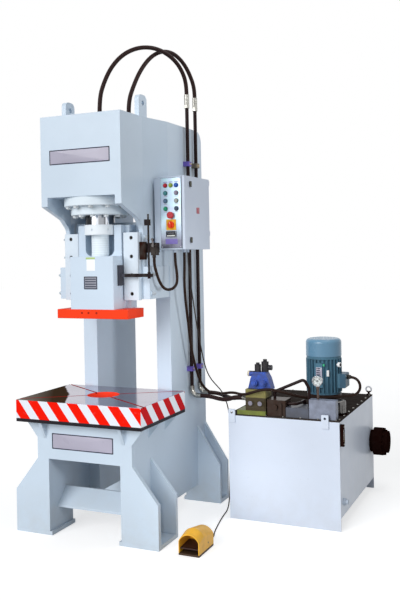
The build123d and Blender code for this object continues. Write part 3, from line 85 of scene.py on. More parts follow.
class Stiffness(Enum):
    """How firmly a cord keeps its line."""

    MEDIUM = "medium"
    STIFF = "stiff"


class Graph:
    """Shader tree of one material, with short calls for the nodes that the finishes share."""

    def __init__(self, name: str) -> None:
        """Starts a tree with one Principled shader.

        Args:
            name: name of the material.
        """
        self.material = bpy.data.materials.new(name)
        self.material.use_nodes = True
        self.tree = self.material.node_tree
        self.tree.nodes.clear()
        self.output = self.tree.nodes.new("ShaderNodeOutputMaterial")
        self.shader = self.tree.nodes.new("ShaderNodeBsdfPrincipled")
        self.tree.links.new(self.shader.outputs["BSDF"], self.output.inputs["Surface"])
        self.place = self.tree.nodes.new("ShaderNodeTexCoord").outputs["Object"]
        self.split = self.tree.nodes.new("ShaderNodeSeparateXYZ")
        self.tree.links.new(self.place, self.split.inputs[0])

    def feed(self, socket: Socket, value: Socket | float | Colour) -> None:
        """Links a socket to another one, or sets its number or colour.

        Args:
            socket: the input to fill.
            value: an output to link, a number or a colour.
        """
        if isinstance(value, bpy.types.NodeSocket):
            self.tree.links.new(value, socket)
        elif isinstance(value, tuple):
            socket.default_value = (*value, 1.0)
        else:
            socket.default_value = value

    def set(self, name: str, value: Socket | float | Colour) -> None:
        """Sets or links one input of the Principled shader."""
        self.feed(self.shader.inputs[name], value)

    def axis(self, axis: Axis) -> Socket:
        """One object coordinate."""
        return self.split.outputs[axis.value]

    def stretched(self, scale: Point) -> Socket:
        """Object coordinates multiplied along each axis.

        Args:
            scale: factor along X, Y and Z.

        Returns:
            The vector socket of a Mapping node.
        """
        mapping = self.tree.nodes.new("ShaderNodeMapping")
        mapping.inputs["Scale"].default_value = scale
        self.tree.links.new(self.place, mapping.inputs["Vector"])
        return mapping.outputs["Vector"]

    def noise(self, scale: float, detail: float = 3.0, place: Socket | None = None) -> Socket:
        """Fractal noise.

        Args:
            scale: repeats per metre.
            detail: octaves.
            place: coordinates, or the object's own.

        Returns:
            The value socket, near 0.5 on average.
        """
        node = self.tree.nodes.new("ShaderNodeTexNoise")
        node.inputs["Scale"].default_value = scale
        node.inputs["Detail"].default_value = detail
        self.tree.links.new(place or self.place, node.inputs["Vector"])
        return node.outputs["Fac"]

    def spread(self, value: Socket, low: float, high: float, to_low: float = 0.0,
               to_high: float = 1.0) -> Socket:
        """Maps one range to another, clamped at both ends.

        Args:
            value: the number to map.
            low: where the first range starts.
            high: where the first range ends.
            to_low: what low becomes.
            to_high: what high becomes.

        Returns:
            The mapped number.
        """
        node = self.tree.nodes.new("ShaderNodeMapRange")
        self.tree.links.new(value, node.inputs["Value"])
        for name, number in (("From Min", low), ("From Max", high), ("To Min", to_low), ("To Max", to_high)):
            node.inputs[name].default_value = number
        return node.outputs["Result"]

    def mottle(self, scale: float, detail: float, to_low: float = 0.0, to_high: float = 1.0) -> Socket:
        """Fractal noise spread over a whole range: its usual values fill to_low..to_high."""
        return self.spread(self.noise(scale, detail), *NOISE_RANGE, to_low, to_high)

    def math(self, operation: str, first: Socket | float, second: Socket | float = 0.0) -> Socket:
        """One Math node.

        Args:
            operation: what the node works out.
            first: its first number.
            second: its second number, where it takes two.

        Returns:
            The result.
        """
        node = self.tree.nodes.new("ShaderNodeMath")
        node.operation = operation
        self.feed(node.inputs[0], first)
        self.feed(node.inputs[1], second)
        return node.outputs[0]

    def mixed(self, kind: str, sockets: tuple[int, int, int], share: Socket, values: tuple) -> Socket:
        """One Mix node.

        Args:
            kind: data type of the node.
            sockets: numbers of its first and second value and of its result.
            share: 0 for the first value and 1 for the second.
            values: the two values, each a socket, a number or a colour.

        Returns:
            The mixed value.
        """
        node = self.tree.nodes.new("ShaderNodeMix")
        node.data_type = kind
        self.feed(node.inputs[0], share)
        for socket, value in zip(sockets, values):
            self.feed(node.inputs[socket], value)
        return node.outputs[sockets[-1]]

    def blend(self, share: Socket, first: Socket | Colour, second: Socket | Colour) -> Socket:
        """Colour that goes from the first to the second as share goes from 0 to 1."""
        return self.mixed("RGBA", (6, 7, 2), share, (first, second))

    def level(self, share: Socket, first: Socket | float, second: Socket | float) -> Socket:
        """Number that goes from the first to the second as share goes from 0 to 1."""
        return self.mixed("FLOAT", (2, 3, 0), share, (first, second))

    def squares(self, first: Socket, second: Socket) -> Socket:
        """Sum of the squares of two numbers."""
        return self.math("ADD", self.math("MULTIPLY", first, first), self.math("MULTIPLY", second, second))

    def reach(self, first: Socket, second: Socket) -> Socket:
        """Distance from a point to the origin of two coordinates."""
        return self.math("SQRT", self.squares(first, second))

    def above(self, axis: Axis, limit: float, under: bool = False) -> Socket:
        """1 where a coordinate is over a limit, or under it, and 0 elsewhere."""
        return self.math("LESS_THAN" if under else "GREATER_THAN", self.axis(axis), limit)

    def relief(self, height: Socket, strength: float, distance: float, soft_edge: float = 0.0) -> None:
        """Gives the shader a bumped normal, with softened edges where soft_edge is over 0.

        Args:
            height: value socket of the relief.
            strength: strength of the bump.
            distance: depth of the relief in metres.
            soft_edge: radius of the softened edges in metres.
        """
        bump = self.tree.nodes.new("ShaderNodeBump")
        bump.inputs["Strength"].default_value = strength
        bump.inputs["Distance"].default_value = distance
        self.tree.links.new(height, bump.inputs["Height"])
        if soft_edge:
            bevel = self.tree.nodes.new("ShaderNodeBevel")
            bevel.samples = 4
            bevel.inputs["Radius"].default_value = soft_edge
            self.tree.links.new(bevel.outputs["Normal"], bump.inputs["Normal"])
        self.tree.links.new(bump.outputs["Normal"], self.shader.inputs["Normal"])


def shaded(colour: Colour, factor: float) -> Colour:
    """A colour multiplied by one factor."""
    return tuple(min(1.0, channel * factor) for channel in colour)


@dataclass(frozen=True)
class Finish:
    """Base of the finishes: a named material whose shader tree each kind fills in its own way."""

    name: str

    def material(self) -> bpy.types.Material:
        """Builds the finish's material.

        Returns:
            The new material.
        """
        graph = Graph(self.name)
        self.fill(graph)
        return graph.material

    def fill(self, graph: Graph) -> None:
        """Adds the finish's nodes to a shader tree."""
        raise NotImplementedError


@dataclass(frozen=True)
class Paint(Finish):
    """Sprayed paint: broad faint mottling, dust towards the floor and the fine peel of a spray gun."""

    colour: Colour
    roughness: float = 0.38
    coat: float = 0.15
    mottling: float = 0.05
    mottle_scale: float = 2.2
    speck_scale: float = 60.0
    speck_share: float = 0.35
    speck_tone: float = 0.86
    dust: float = 0.0
    dust_top: float = 0.35
    dust_scale: float = 9.0
    dust_colour: Colour = (0.42, 0.40, 0.36)
    peel: float = 0.12
    peel_scale: float = 420.0
    peel_depth: float = 0.0004
    soft_edge: float = 0.002
    specular: float = 0.3
    coat_roughness: float = 0.12

    def fill(self, graph: Graph) -> None:
        """Mixes the paint's mottling, specks, dust and peel.

        Args:
            graph: the shader tree.
        """
        broad = graph.mottle(self.mottle_scale, 4.0)
        darker, lighter = shaded(self.colour, 1 - self.mottling), shaded(self.colour, 1 + self.mottling / 2)
        tint = graph.blend(broad, darker, lighter)
        speck = graph.spread(graph.noise(self.speck_scale, 2.0), 0.68, 0.78, 0.0, self.speck_share)
        tint = graph.blend(speck, tint, shaded(self.colour, self.speck_tone))
        if self.dust:
            low = graph.spread(graph.axis(Axis.Z), 0.0, self.dust_top, self.dust, 0.0)
            patch = graph.math("MULTIPLY", low, graph.spread(graph.noise(self.dust_scale, 5.0), 0.35, 0.65))
            tint = graph.blend(patch, tint, self.dust_colour)
        graph.set("Base Color", tint)
        graph.set("Roughness", graph.mottle(14.0, 3.0, self.roughness - 0.05, self.roughness + 0.07))
        graph.set("Specular IOR Level", self.specular)
        graph.set("Coat Weight", self.coat)
        graph.set("Coat Roughness", self.coat_roughness)
        graph.relief(graph.noise(self.peel_scale, 2.0), self.peel, self.peel_depth, self.soft_edge)


@dataclass(frozen=True)
class BareMetal(Finish):
    """Machined or plated metal with tool marks along one direction."""

    colour: Colour
    roughness: float = 0.3
    streak: Point = (1.0, 1.0, 30.0)
    streak_scale: float = 24.0
    contrast: float = 0.12
    stain: Colour = (0.25, 0.22, 0.18)
    stain_share: float = 0.12
    stain_scale: float = 19.0
    mark_strength: float = 0.15
    mark_depth: float = 0.0002
    soft_edge: float = 0.0008

    def fill(self, graph: Graph) -> None:
        """Mixes the metal's marks and stains.

        Args:
            graph: the shader tree.
        """
        marks = graph.noise(self.streak_scale, 3.0, graph.stretched(self.streak))
        share = graph.spread(marks, *NOISE_RANGE)
        darker, lighter = shaded(self.colour, 1 - self.contrast), shaded(self.colour, 1 + self.contrast / 2)
        tint = graph.blend(share, darker, lighter)
        spots = graph.spread(graph.noise(self.stain_scale, 5.0), 0.55, 0.75, 0.0, self.stain_share)
        graph.set("Base Color", graph.blend(spots, tint, self.stain))
        graph.set("Metallic", 1.0)
        graph.set("Roughness", graph.level(share, self.roughness - 0.06, self.roughness + 0.08))
        graph.relief(marks, self.mark_strength, self.mark_depth, self.soft_edge)


@dataclass(frozen=True)
class Moulding(Finish):
    """Moulded plastic or rubber with a fine leathery grain."""

    colour: Colour
    roughness: float = 0.45
    grain: float = 700.0
    depth: float = 0.2
    specular: float = 0.22
    tones: Pair = (0.88, 1.1)
    grain_depth: float = 0.0003
    soft_edge: float = 0.0006

    def fill(self, graph: Graph) -> None:
        """Mixes the moulding's tones and grain.

        Args:
            graph: the shader tree.
        """
        darker, lighter = (shaded(self.colour, tone) for tone in self.tones)
        graph.set("Base Color", graph.blend(graph.mottle(35.0, 3.0), darker, lighter))
        graph.set("Roughness", graph.mottle(90.0, 2.0, self.roughness - 0.05, self.roughness + 0.08))
        graph.set("Specular IOR Level", self.specular)
        graph.relief(graph.noise(self.grain, 2.0), self.depth, self.grain_depth, self.soft_edge)


@dataclass(frozen=True)
class Zone:
    """Part of a node beyond one plane that has its own finish."""

    axis: Axis
    limit: float
    colour: Colour
    roughness: float
    metallic: float
    under: bool = False


@dataclass(frozen=True)
class ZonedFinish(Finish):
    """Finish of a node whose parts differ: each zone covers what lies beyond its plane."""

    colour: Colour
    roughness: float
    metallic: float
    zones: tuple[Zone, ...]
    mottling: float = 0.14
    specular: float = 0.25
    grime: Colour = (0.06, 0.055, 0.05)
    grain_strength: float = 0.2
    grain_depth: float = 0.0004
    soft_edge: float = 0.001

    def fill(self, graph: Graph) -> None:
        """Mixes the zones, one over the other.

        Args:
            graph: the shader tree.
        """
        tint, rough, metal = self.colour, self.roughness, self.metallic
        for zone in self.zones:
            share = graph.above(zone.axis, zone.limit, zone.under)
            tint = graph.blend(share, tint, zone.colour)
            rough = graph.level(share, rough, zone.roughness)
            metal = graph.level(share, metal, zone.metallic)
        patches = graph.spread(graph.noise(26.0, 5.0), 0.35, 0.7, 0.0, self.mottling * 3)
        graph.set("Base Color", graph.blend(patches, tint, self.grime))
        graph.set("Roughness", rough)
        graph.set("Metallic", metal)
        graph.set("Specular IOR Level", self.specular)
        graph.relief(graph.noise(240.0, 4.0), self.grain_strength, self.grain_depth, self.soft_edge)


@dataclass(frozen=True)
class StripedTable(Finish):
    """Finish of the bolster: slanted stripes on its edges, a ground top with a painted reflection on its
    left, painted grooves and bore.
    """

    name: str = "striped_table"
    red: Colour = (0.90, 0.012, 0.004)
    white: Colour = (0.80, 0.84, 0.91)
    steel: Colour = (0.42, 0.40, 0.50)
    # Painted reflection on the left of the top: the next two colours are its hazy far part and its dark brown
    # band at the slanted edge.
    haze: Colour = (0.24, 0.22, 0.19)
    oil: Colour = (0.060, 0.036, 0.020)
    bore_red: Colour = (0.98, 0.065, 0.030)
    # Darker red of the stripes on the side faces: painted shade.
    side_red: Colour = (0.56, 0.018, 0.022)
    groove_red: Colour = (0.34, 0.010, 0.012)
    # Where the painted reflection's slanted, ragged edge lies on the top, and how fast it fades.
    film_edge: float = -0.488
    film_haze: float = -0.80
    film_lean: float = 0.64
    film_ragged: float = 0.020
    film_fade: Pair = (-0.004, 0.006)
    worn: Colour = (0.5, 0.42, 0.42)
    worn_share: float = 0.10
    front_pitch: float = 0.143
    front_width: float = 0.0755
    front_start: float = -0.213
    side_pitch: float = 0.152
    side_width: float = 0.079
    side_start: float = 0.061
    front_lean: float = 0.77
    side_lean: float = 0.82
    edge_chamfer: float = 0.0016
    groove_depth: float = 0.008
    groove_half: float = 0.0072
    groove_angle: float = 33.0
    groove_margin: float = 0.0005
    bore_reach: float = 0.1035
    edge_normal: float = 0.7
    bare_metallic: float = 0.92
    painted_roughness: float = 0.36
    ground_roughness: float = 0.11

    def stripes(self, graph: Graph, along: Socket, lean: float, start: float, pitch: float,
                width: float) -> Socket:
        """1 on a red stripe and 0 on a white one.

        The distance along the edge plus lean times the height below the top is divided by the pitch,
        and a stripe is where the fraction is under width over pitch.

        Args:
            graph: the shader tree.
            along: coordinate along the edge.
            lean: sideways shift per metre of height.
            start: where a red stripe begins at the top edge.
            pitch: distance from stripe to stripe.
            width: width of a red stripe.

        Returns:
            The share of red.
        """
        drop = graph.math("MULTIPLY", graph.math("SUBTRACT", graph.axis(Axis.Z), TABLE_TOP_Z), lean)
        place = graph.math("SUBTRACT", graph.math("ADD", along, drop), start)
        turn = graph.math("FRACT", graph.math("DIVIDE", place, pitch))
        return graph.math("LESS_THAN", turn, width / pitch)

    def groove_share(self, graph: Graph, away_y: Socket) -> Socket:
        """1 along the four painted grooves, which cross at the bore.

        A point lies on a groove where | |y| * cos a - |x| * sin a | is under the half width, a being the
        grooves' angle.

        Args:
            graph: the shader tree.
            away_y: distance behind the bore's middle.

        Returns:
            The share of the grooves' paint.
        """
        turn = radians(self.groove_angle)
        upward = graph.math("MULTIPLY", graph.math("ABSOLUTE", away_y), cos(turn))
        across = graph.math("MULTIPLY", graph.math("ABSOLUTE", graph.axis(Axis.X)), sin(turn))
        aside = graph.math("ABSOLUTE", graph.math("SUBTRACT", upward, across))
        high = graph.above(Axis.Z, TABLE_TOP_Z - self.groove_depth - self.groove_margin)
        return graph.math("MULTIPLY", graph.math("LESS_THAN", aside, self.groove_half), high)

    def fill(self, graph: Graph) -> None:
        """Mixes stripes, ground steel, a painted reflection, grooves and bore.

        Args:
            graph: the shader tree.
        """
        away_y = graph.math("SUBTRACT", graph.axis(Axis.Y), RAM_Y)
        grind = graph.noise(30.0, 4.0, graph.stretched((1.0, 26.0, 1.0)))
        # Painted reflection: a dark band whose edge slants across the top's left part, where the top is also
        # made non-metallic.
        lean = graph.math("MULTIPLY", graph.axis(Axis.Y), self.film_lean)
        slant = graph.math("ADD", graph.axis(Axis.X), lean)
        ragged = graph.math("ADD", slant, graph.mottle(4.0, 2.0, -self.film_ragged, self.film_ragged))
        fade_start, fade_end = (self.film_edge + step for step in self.film_fade)
        in_reflection = graph.spread(ragged, fade_start, fade_end, 1.0, 0.0)
        top = graph.above(Axis.Z, TABLE_TOP_Z - self.edge_chamfer)
        groove = self.groove_share(graph, away_y)
        bore = graph.math("LESS_THAN", graph.reach(graph.axis(Axis.X), away_y), self.bore_reach)
        steel = graph.blend(in_reflection, self.ground_steel(graph, grind), self.oil_film(graph, slant))
        tint = graph.blend(top, self.edge_paint(graph), steel)
        tint = graph.blend(groove, tint, self.groove_red)
        tint = graph.blend(bore, tint, self.bore_red)
        bare = graph.math("MULTIPLY", top, graph.math("SUBTRACT", 1.0, graph.math("MAXIMUM", bore, groove)))
        graph.set("Base Color", tint)
        graph.set("Metallic", graph.math("MULTIPLY", bare, graph.level(in_reflection, self.bare_metallic, 0.0)))
        graph.set("Roughness", graph.level(bare, self.painted_roughness, self.ground_roughness))
        graph.set("Specular IOR Level", 0.0)
        graph.relief(grind, 0.06, 0.0001, 0.001)

    def edge_paint(self, graph: Graph) -> Socket:
        """Red and white stripes of the front and the sides, slightly worn, with a darker red on the sides as
        painted shade.

        Args:
            graph: the shader tree.

        Returns:
            The colour.
        """
        shape = graph.tree.nodes.new("ShaderNodeNewGeometry")
        normal = graph.tree.nodes.new("ShaderNodeSeparateXYZ")
        graph.tree.links.new(shape.outputs["Normal"], normal.inputs[0])
        side = graph.math("GREATER_THAN", graph.math("ABSOLUTE", normal.outputs["X"]), self.edge_normal)
        depth = graph.math("SUBTRACT", graph.axis(Axis.Y), BASE_FRONT_Y)
        on_front = self.stripes(graph, graph.axis(Axis.X), self.front_lean, self.front_start,
                                self.front_pitch, self.front_width)
        on_side = self.stripes(graph, depth, self.side_lean, self.side_start, self.side_pitch,
                               self.side_width)
        red = graph.level(side, on_front, on_side)
        stripe = graph.blend(red, self.white, graph.blend(side, self.red, self.side_red))
        worn = graph.spread(graph.noise(45.0, 5.0), 0.62, 0.72, 0.0, self.worn_share)
        return graph.blend(worn, stripe, self.worn)

    def ground_steel(self, graph: Graph, grind: Socket) -> Socket:
        """Steel of the ground top with its grinding marks and dull patches.

        Args:
            graph: the shader tree.
            grind: noise of the grinding marks.

        Returns:
            The colour.
        """
        steel = graph.blend(graph.spread(grind, *NOISE_RANGE), shaded(self.steel, 0.85), self.steel)
        patches = graph.spread(graph.noise(3.4, 5.0), 0.48, 0.70, 0.0, 0.3)
        return graph.blend(patches, steel, shaded(self.steel, 0.4))

    def oil_film(self, graph: Graph, slant: Socket) -> Socket:
        """Painted reflection on the left of the top: hazy at the far left and dark brown at its slanted edge.
        """
        return graph.blend(graph.spread(slant, self.film_haze, self.film_edge - 0.10), self.haze, self.oil)


@dataclass(frozen=True)
class OiledChrome(Finish):
    """Finish of the ram: chrome with a painted reflection of upright dark and bright bands, and a pale
    machined neck below the collar's top.
    """

    name: str = "oiled_chrome"
    # Painted reflection: the bright and dark colours of the bands across the chrome.
    bright: Colour = (0.86, 0.90, 0.97)
    dark: Colour = (0.016, 0.018, 0.022)
    neck: Colour = (0.80, 0.88, 0.93)
    neck_top: float = 1.9349
    neck_rings: float = 70.0
    # Painted reflection: where each band lies across the ram's width, and its share of bright chrome.
    runs: Profile = (
        (0.00, 0.00),
        (0.14, 0.00),
        (0.31, 0.02),
        (0.36, 1.00),
        (0.50, 1.00),
        (0.54, 0.45),
        (0.66, 0.40),
        (0.69, 0.08),
        (0.73, 0.95),
        (0.77, 0.95),
        (0.80, 0.30),
        (1.00, 0.10),
    )
    half_width: float = 0.125
    lean: float = 0.42
    run_sway: float = 0.004
    ring_share: float = 0.4
    ring_tone: float = 0.93
    roughness: Pair = (0.12, 0.45)
    specular: float = 0.15

    def fill(self, graph: Graph) -> None:
        """Mixes the chrome with its painted reflection bands and the neck with its rings.

        Args:
            graph: the shader tree.
        """
        runs = graph.noise(17.0, 2.0, graph.stretched((1.0, 1.0, 0.02)))
        # Painted reflection: the bands are laid out along one fixed sideways direction, square to one line of
        # sight.
        behind = graph.math("MULTIPLY", graph.math("SUBTRACT", graph.axis(Axis.Y), RAM_Y), self.lean)
        across = graph.math("ADD", graph.axis(Axis.X), behind)
        across = graph.math("ADD", across, graph.spread(runs, *NOISE_RANGE, -self.run_sway, self.run_sway))
        share = self.run_share(graph, graph.spread(across, -self.half_width, self.half_width))
        chrome = graph.blend(share, self.dark, self.bright)
        below = graph.above(Axis.Z, self.neck_top, under=True)
        rings = graph.math("FRACT", graph.math("MULTIPLY", graph.axis(Axis.Z), self.neck_rings))
        ring = graph.math("LESS_THAN", rings, self.ring_share)
        neck = graph.blend(ring, self.neck, shaded(self.neck, self.ring_tone))
        graph.set("Base Color", graph.blend(below, chrome, neck))
        graph.set("Metallic", graph.level(below, 1.0, 0.0))
        graph.set("Specular IOR Level", self.specular)
        graph.set("Roughness", graph.level(below, *self.roughness))
        graph.relief(runs, 0.02, 0.0001)

    def run_share(self, graph: Graph, place: Socket) -> Socket:
        """Share of bright chrome in the painted reflection along the ram's width, straight from each band's
        edge to the next.

        Args:
            graph: the shader tree.
            place: 0 at one side of the ram and 1 at the other.

        Returns:
            The share, from 0 for a dark reflected band to 1 for a bright one.
        """
        ramp = graph.tree.nodes.new("ShaderNodeValToRGB")
        stops = ramp.color_ramp.elements
        while len(stops) < len(self.runs):
            stops.new(0.5)
        for stop, (where, share) in zip(stops, self.runs):
            stop.position = where
            stop.color = (share, share, share, 1.0)
        graph.feed(ramp.inputs["Fac"], place)
        return ramp.outputs["Color"]


@dataclass(frozen=True)
class BezelRings(Finish):
    """Finish of the panel's bezels: each ring has its button's colour, and the rest is bright metal."""

    reach: float
    rings: tuple[tuple[float, float, Colour], ...]
    metal_colour: Colour = (0.55, 0.58, 0.62)
    metallic: float = 0.8
    ring_metallic: float = 0.1
    roughness: Pair = (0.26, 0.38)
    specular: float = 0.2

    def fill(self, graph: Graph) -> None:
        """Mixes the rings, one after the other.

        Args:
            graph: the shader tree.
        """
        tint, metal = self.metal_colour, self.metallic
        for x, z, colour in self.rings:
            across = graph.math("SUBTRACT", graph.axis(Axis.X), x)
            upward = graph.math("SUBTRACT", graph.axis(Axis.Z), z)
            inside = graph.math("LESS_THAN", graph.squares(across, upward), self.reach * self.reach)
            tint = graph.blend(inside, tint, colour)
            metal = graph.level(inside, metal, self.ring_metallic)
        graph.set("Base Color", tint)
        graph.set("Metallic", metal)
        graph.set("Specular IOR Level", self.specular)
        graph.set("Roughness", graph.mottle(120.0, 2.0, *self.roughness))


@dataclass(frozen=True)
class FilmedStainless(Finish):
    """Brushed stainless plate with a painted reflection: light cyan at the top and dark violet below, with
    lilac patches.
    """

    name: str = "filmed_stainless"
    # Painted reflection: light cyan at the top of the plate and dark violet at its foot, blended by height.
    high: Colour = (0.47, 0.65, 0.72)
    low: Colour = (0.10, 0.10, 0.15)
    lilac: Colour = (0.46, 0.46, 0.66)
    brushed: Colour = (0.70, 0.78, 0.82)
    low_z: float = 1.825
    high_z: float = 1.985
    lilac_share: float = 0.6
    brushed_share: float = 0.18
    metallic: float = 0.5
    roughness: Pair = (0.28, 0.42)

    def fill(self, graph: Graph) -> None:
        """Mixes the painted reflection's tints and the brushed lines.

        Args:
            graph: the shader tree.
        """
        brush = graph.noise(60.0, 3.0, graph.stretched((18.0, 1.0, 1.0)))
        reflection_rise = graph.spread(graph.axis(Axis.Z), self.low_z, self.high_z)
        tint = graph.blend(reflection_rise, self.low, self.high)
        hue = graph.spread(graph.noise(24.0, 4.0), 0.40, 0.62, 0.0, self.lilac_share)
        tint = graph.blend(graph.math("MULTIPLY", hue, reflection_rise), tint, self.lilac)
        tint = graph.blend(graph.spread(brush, 0.4, 0.7, 0.0, self.brushed_share), tint, self.brushed)
        graph.set("Base Color", tint)
        graph.set("Metallic", self.metallic)
        graph.set("Roughness", graph.spread(brush, *NOISE_RANGE, *self.roughness))
        graph.relief(brush, 0.08, 0.0001, 0.0006)


@dataclass(frozen=True)
class ClearPane(Finish):
    """Clear glass or acrylic."""

    colour: Colour = (0.95, 0.97, 0.98)
    roughness: float = 0.03
    index: float = 1.45

    def fill(self, graph: Graph) -> None:
        """Makes the shader clear.

        Args:
            graph: the shader tree.
        """
        graph.set("Base Color", self.colour)
        graph.set("Transmission Weight", 1.0)
        graph.set("Roughness", graph.mottle(40.0, 2.0, self.roughness, self.roughness + 0.03))
        graph.set("IOR", self.index)


@dataclass
class Surface:
    """Points and faces of one closed or open surface."""

    points: np.ndarray
    faces: np.ndarray


def gathered(parts: list[Surface]) -> Surface:
    """Several surfaces as one: the faces of each count on from the points of those before it.

    Args:
        parts: the surfaces, in order.

    Returns:
        One surface.
    """
    shifts = np.cumsum([0] + [len(part.points) for part in parts[:-1]])
    points = np.concatenate([part.points for part in parts])
    faces = np.concatenate([part.faces + shift for part, shift in zip(parts, shifts)])
    return Surface(points, faces)


@dataclass(frozen=True)
class Place:
    """Right-handed place of a flat piece: its middle, its right, its up and its outward direction."""

    middle: Point
    right: Point
    up: Point

    @property
    def out(self) -> np.ndarray:
        """Outward direction, square to right and up."""
        return np.cross(self.right, self.up)

    def world(self, local: np.ndarray) -> np.ndarray:
        """Moves points from right, up and out to X, Y and Z."""
        return np.asarray(self.middle) + local @ np.array([self.right, self.up, self.out])

    def moved(self, across: float, upward: float, outward: float) -> Place:
        """The same directions at a middle moved right, up and out."""
        return Place(tuple(self.world(np.array([across, upward, outward]))), self.right, self.up)


Mark = tuple[str, Place, float]


def facing_front(x: float, y: float, z: float) -> Place:
    """Place on a face that looks towards -Y."""
    return Place((x, y, z), (1.0, 0.0, 0.0), (0.0, 0.0, 1.0))


def facing_right(x: float, y: float, z: float) -> Place:
    """Place on a face that looks towards +X."""
    return Place((x, y, z), (0.0, 1.0, 0.0), (0.0, 0.0, 1.0))


def facing_up(x: float, y: float, z: float) -> Place:
    """Place on a face that looks up."""
    return Place((x, y, z), (1.0, 0.0, 0.0), (0.0, 1.0, 0.0))


def grid_faces(rows: int, columns: int, closed: bool = True) -> np.ndarray:
    """Quads between neighbouring points of a grid.

    Point (i, j) has number i * columns + j, and each quad joins (i, j), (i, j + 1), (i + 1, j + 1)
    and (i + 1, j).

    Args:
        rows: number of rows.
        columns: points in a row.
        closed: joins each row's last point to its first.

    Returns:
        An array of quads.
    """
    i, j = np.meshgrid(np.arange(rows - 1), np.arange(columns if closed else columns - 1), indexing="ij")
    follow = (j + 1) % columns
    quads = [i * columns + j, i * columns + follow, (i + 1) * columns + follow, (i + 1) * columns + j]
    return np.stack(quads, axis=-1).reshape(-1, 4)


def turned(place: Place, profile: Profile, segments: int) -> Surface:
    """Surface of revolution about a place's outward direction.

    Each profile point (radius, height) goes round: radius * (cos t, sin t) across and height outwards.

    Args:
        place: middle and directions of the turned piece.
        profile: radius and height of each ring.
        segments: points round each ring.

    Returns:
        The turned surface.
    """
    radius, height = np.array(profile).T
    t = np.linspace(0, 2 * pi, segments, endpoint=False)
    across = radius[:, None] * np.cos(t)
    upward = radius[:, None] * np.sin(t)
    outward = np.repeat(height[:, None], segments, axis=1)
    local = np.stack([across, upward, outward], axis=-1).reshape(-1, 3)
    return Surface(place.world(local), grid_faces(len(profile), segments))


def rounded_outline(width: float, height: float, corner: float, steps: int = 6) -> np.ndarray:
    """Closed outline of a rectangle with round corners.

    Each quarter turn's arc stands round a middle that is a corner radius inside both sides.

    Args:
        width: size along the first axis.
        height: size along the second axis.
        corner: corner radius.
        steps: points in each corner.

    Returns:
        An array of points, anticlockwise.
    """
    turn = np.concatenate([np.linspace(q, q + 1, steps) * pi / 2 for q in range(4)])
    quarter = np.repeat(np.arange(4), steps) * pi / 2 + pi / 4
    middle_x = np.sign(np.cos(quarter)) * (width / 2 - corner)
    middle_y = np.sign(np.sin(quarter)) * (height / 2 - corner)
    return np.stack([middle_x + corner * np.cos(turn), middle_y + corner * np.sin(turn)], axis=-1)


def outline_rings(width: float, height: float, corner: float, least: float,
                  steps: Profile) -> list[np.ndarray]:
    """Rings of a rounded rectangle, each drawn in by its own inset at its own level.

    Args:
        width: size of the outline to the right.
        height: size of the outline upwards.
        corner: its corner radius.
        least: smallest corner radius of a ring.
        steps: inset and level of each ring.

    Returns:
        The rings, with the level as third coordinate.
    """
    rings = []
    for inset, level in steps:
        ring = rounded_outline(width - 2 * inset, height - 2 * inset, max(corner - inset, least))
        rings.append(np.column_stack([ring, np.full(len(ring), level)]))
    return rings


def slab(place: Place, width: float, height: float, thick: float, corner: float = 0.002,
         edge: float = 0.0004) -> Surface:
    """Plate with round corners and a softened front edge.

    Rings of the outline stand at the back, at the foot of the edge and at its top, and close on the middle.

    Args:
        place: middle of the back face, with its directions.
        width: size to the right.
        height: size upwards.
        thick: thickness outwards.
        corner: corner radius.
        edge: size of the softened edge.

    Returns:
        The plate's surface.
    """
    shoulder = edge * 0.3
    steps = ((0.0, 0.0), (0.0, thick - edge), (shoulder, thick - shoulder), (edge, thick))
    rings = outline_rings(width, height, corner, 1e-5, steps)
    count = len(rings[0])
    back = np.zeros((count, 3))
    front = np.column_stack([np.zeros((count, 2)), np.full(count, thick)])
    local = np.concatenate([back, *rings, front])
    return Surface(place.world(local), grid_faces(len(rings) + 2, count))


def frame_band(place: Place, width: float, height: float, band: float, thick: float,
               corner: float = 0.003) -> Surface:
    """Flat raised band round a rounded rectangle.

    Four rings of the outline, outer low, outer high, inner high and inner low, close on the first.

    Args:
        place: middle of the band's back, with its directions.
        width: outer size to the right.
        height: outer size upwards.
        band: width of the band.
        thick: thickness outwards.
        corner: outer corner radius.

    Returns:
        The band's surface.
    """
    steps = ((0.0, 0.0), (0.0, thick), (band, thick), (band, 0.0), (0.0, 0.0))
    rings = outline_rings(width, height, corner, 0.0005, steps)
    return Surface(place.world(np.concatenate(rings)), grid_faces(len(rings), len(rings[0])))


def holed_square(place: Place, size: float, hole: float, thick: float, corner: float = 0.003) -> Surface:
    """Square plate with a round hole.

    Outer rings follow the rounded square and inner rings the circle, each at the back and at the front.

    Args:
        place: middle of the back face, with its directions.
        size: side of the square.
        hole: radius of the hole.
        thick: thickness outwards.
        corner: corner radius of the square.

    Returns:
        The plate's surface.
    """
    square = rounded_outline(size, size, corner, 10)
    angle = np.arctan2(square[:, 1], square[:, 0])
    circle = hole * np.stack([np.cos(angle), np.sin(angle)], axis=-1)
    steps = ((square, 0.0), (square, thick), (circle, thick), (circle, 0.0), (square, 0.0))
    rings = [np.column_stack([flat, np.full(len(flat), level)]) for flat, level in steps]
    return Surface(place.world(np.concatenate(rings)), grid_faces(len(rings), len(square)))


